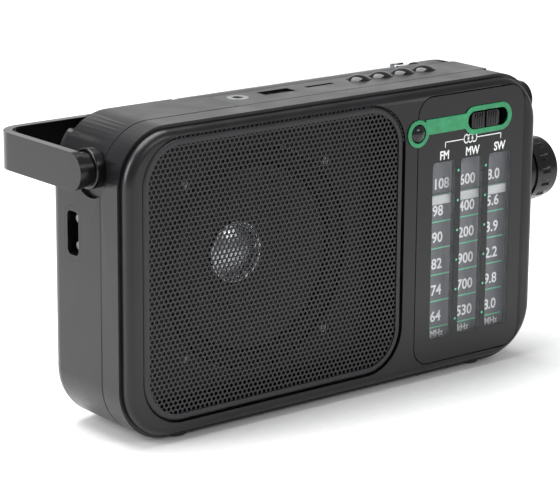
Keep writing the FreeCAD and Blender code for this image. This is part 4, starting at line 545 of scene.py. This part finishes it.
numerals = []
for column, (values, unit) in enumerate(SCALES):
    for row, value in enumerate(values):
        at, align = DIGITS_AT[column]
        numerals.append(lettering(value, at + column * WINDOW_PITCH, SCALE_FACE,
                                  FIRST_LINE - row * LINE_PITCH + DIGIT_LIFT, DIGIT_HEIGHT,
                                  align=align))
    numerals.append(lettering(unit, DIGITS_AT[0][0] + column * WINDOW_PITCH, SCALE_FACE,
                              FIRST_LINE - (ROWS - 1) * LINE_PITCH - UNIT_DROP, UNIT_HEIGHT))
lines = []
for row in range(ROWS):
    level = FIRST_LINE - row * LINE_PITCH
    lines.append(stroke(WINDOW_LEFT, WINDOW_RIGHT, level - HALF_LINE, level + HALF_LINE,
                        SCALE_FACE))
finish_piece(join(numerals), "scale_numerals", white_ink)
finish_piece(join(lines), "scale_lines", green_ink)

dots = [spot(x, FIRST_DOT - row * DOT_PITCH, PANEL_FACE, DOT_RADIUS)
        for x in DOTS_AT for row in range(ROWS)]
finish_piece(join(dots), "panel_dots", green_ink)

marks = [lettering(name, x, PANEL_FACE, BAND_LEVEL, BAND_HEIGHT, BAND_WIDTH, "CENTER")
         for name, x in zip(BANDS, BANDS_AT)]
for left, right in BRACKET_BARS:
    marks.append(stroke(left, right, BRACKET_TOP - HALF_BAR, BRACKET_TOP + HALF_BAR, PANEL_FACE))
for x in BRACKET_FEET:
    marks.append(stroke(x - HALF_BAR, x + HALF_BAR, BRACKET_FOOT, BRACKET_TOP, PANEL_FACE))
for x in OVALS_AT:
    marks.append(spot(x, BRACKET_TOP, PANEL_FACE, OVAL_RADIUS, OVAL_RING, OVAL_STRETCH))
finish_piece(join(marks), "panel_marks", white_ink)


# --- band switch lumps -------------------------------------------------------------------

LUMP_OFFSET = 3.1 * MM
RIB_PITCH = 1.1 * MM
RIB_RADIUS = 0.32 * MM
RIB_END = 0.14 * MM
RIB_SHARE = 0.62
RIB_SINK = 0.05 * MM


def slider_lumps():
    """The slider with ribs across its two lumps."""
    refined("band_slider", "band_slider_cap", satin_abs, "slider", 0.35, 3)
    low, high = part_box("band_slider")
    middle = (low.x + high.x) / 2
    height = high.z - low.z
    ribs = []
    for side in (-1, 1):
        for step in (-1.5, -0.5, 0.5, 1.5):
            clear_selection()
            bpy.ops.mesh.primitive_cylinder_add(
                vertices=12, radius=RIB_RADIUS, depth=height * RIB_SHARE,
                location=(middle + side * LUMP_OFFSET + step * RIB_PITCH, low.y + RIB_SINK,
                          (low.z + high.z) / 2))
            rib = bpy.context.object
            apply_modifier(rib, "BEVEL", width=RIB_END, segments=2)
            ribs.append(rib)
    grip = join(ribs)
    smooth(grip, 40)
    finish_piece(grip, "band_slider_ribs", satin_abs, "slider")
    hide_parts("band_slider")


slider_lumps()


# --- camera, floor and light -------------------------------------------------------------

CAMERA_AT = (-0.5060, -0.6146, 0.2578)
LENS = 160.7
YAW, PITCH, ROLL = 38.9, 14.9, -0.42
FLOOR_SIZE = 6
FLOOR_LEVEL = -0.0002
WORLD_STRENGTH = 0.45

camera_data = bpy.data.cameras.new("camera")
camera = bpy.data.objects.new("camera", camera_data)
bpy.context.scene.collection.objects.link(camera)
camera_data.sensor_width = 36.0
camera_data.lens = LENS
camera_data.clip_start = 0.01
yaw, pitch, roll = (math.radians(angle) for angle in (YAW, PITCH, ROLL))
forward = Vector((math.sin(yaw) * math.cos(pitch), math.cos(yaw) * math.cos(pitch),
                  -math.sin(pitch)))
right = Vector((math.cos(yaw), -math.sin(yaw), 0))
down = forward.cross(right)
across = right * math.cos(roll) + down * math.sin(roll)
below = -right * math.sin(roll) + down * math.cos(roll)
turn = Matrix((across, -below, -forward)).transposed().to_4x4()
camera.matrix_world = Matrix.Translation(CAMERA_AT) @ turn
bpy.context.scene.camera = camera

clear_selection()
bpy.ops.mesh.primitive_plane_add(size=FLOOR_SIZE, location=(0, 0, FLOOR_LEVEL))
floor = bpy.context.object
floor.name = "studio_floor"
floor_paint = moulded("pale_studio_paint", "#f4f4f4", "#fbfbfb", (0.5, 0.6), 3.0, 0.01, 200.0)
floor.data.materials.append(floor_paint)


def area_light(name, place, aim, size, power):
    """A soft rectangular lamp, its size and places in metres and its power in watts."""
    data = bpy.data.lights.new(name, "AREA")
    data.shape = "RECTANGLE"
    data.size, data.size_y = size
    data.energy = power
    lamp = bpy.data.objects.new(name, data)
    bpy.context.scene.collection.objects.link(lamp)
    lamp.location = place
    heading = Vector(aim) - Vector(place)
    lamp.rotation_euler = heading.to_track_quat("-Z", "Y").to_euler()


area_light("top_softbox", (-0.1, 0.25, 0.95), (0, 0, 0.05), (1.0, 0.7), 15)
area_light("back_softbox", (0.75, 0.95, 0.42), (0, 0, 0.09), (1.2, 0.35), 0.9)
area_light("left_softbox", (-1.0, 0.15, 0.5), (0, 0, 0.06), (0.4, 0.8), 10)
area_light("front_softbox", (0.3, -1.1, 0.75), (0, 0, 0.05), (0.7, 0.35), 4)
world = bpy.data.worlds.new("studio_world")
bpy.context.scene.world = world
world.use_nodes = True
world.node_tree.nodes["Background"].inputs["Color"].default_value = linear("#f6f7f8")
world.node_tree.nodes["Background"].inputs["Strength"].default_value = WORLD_STRENGTH
bpy.context.scene.view_settings.view_transform = "Standard"
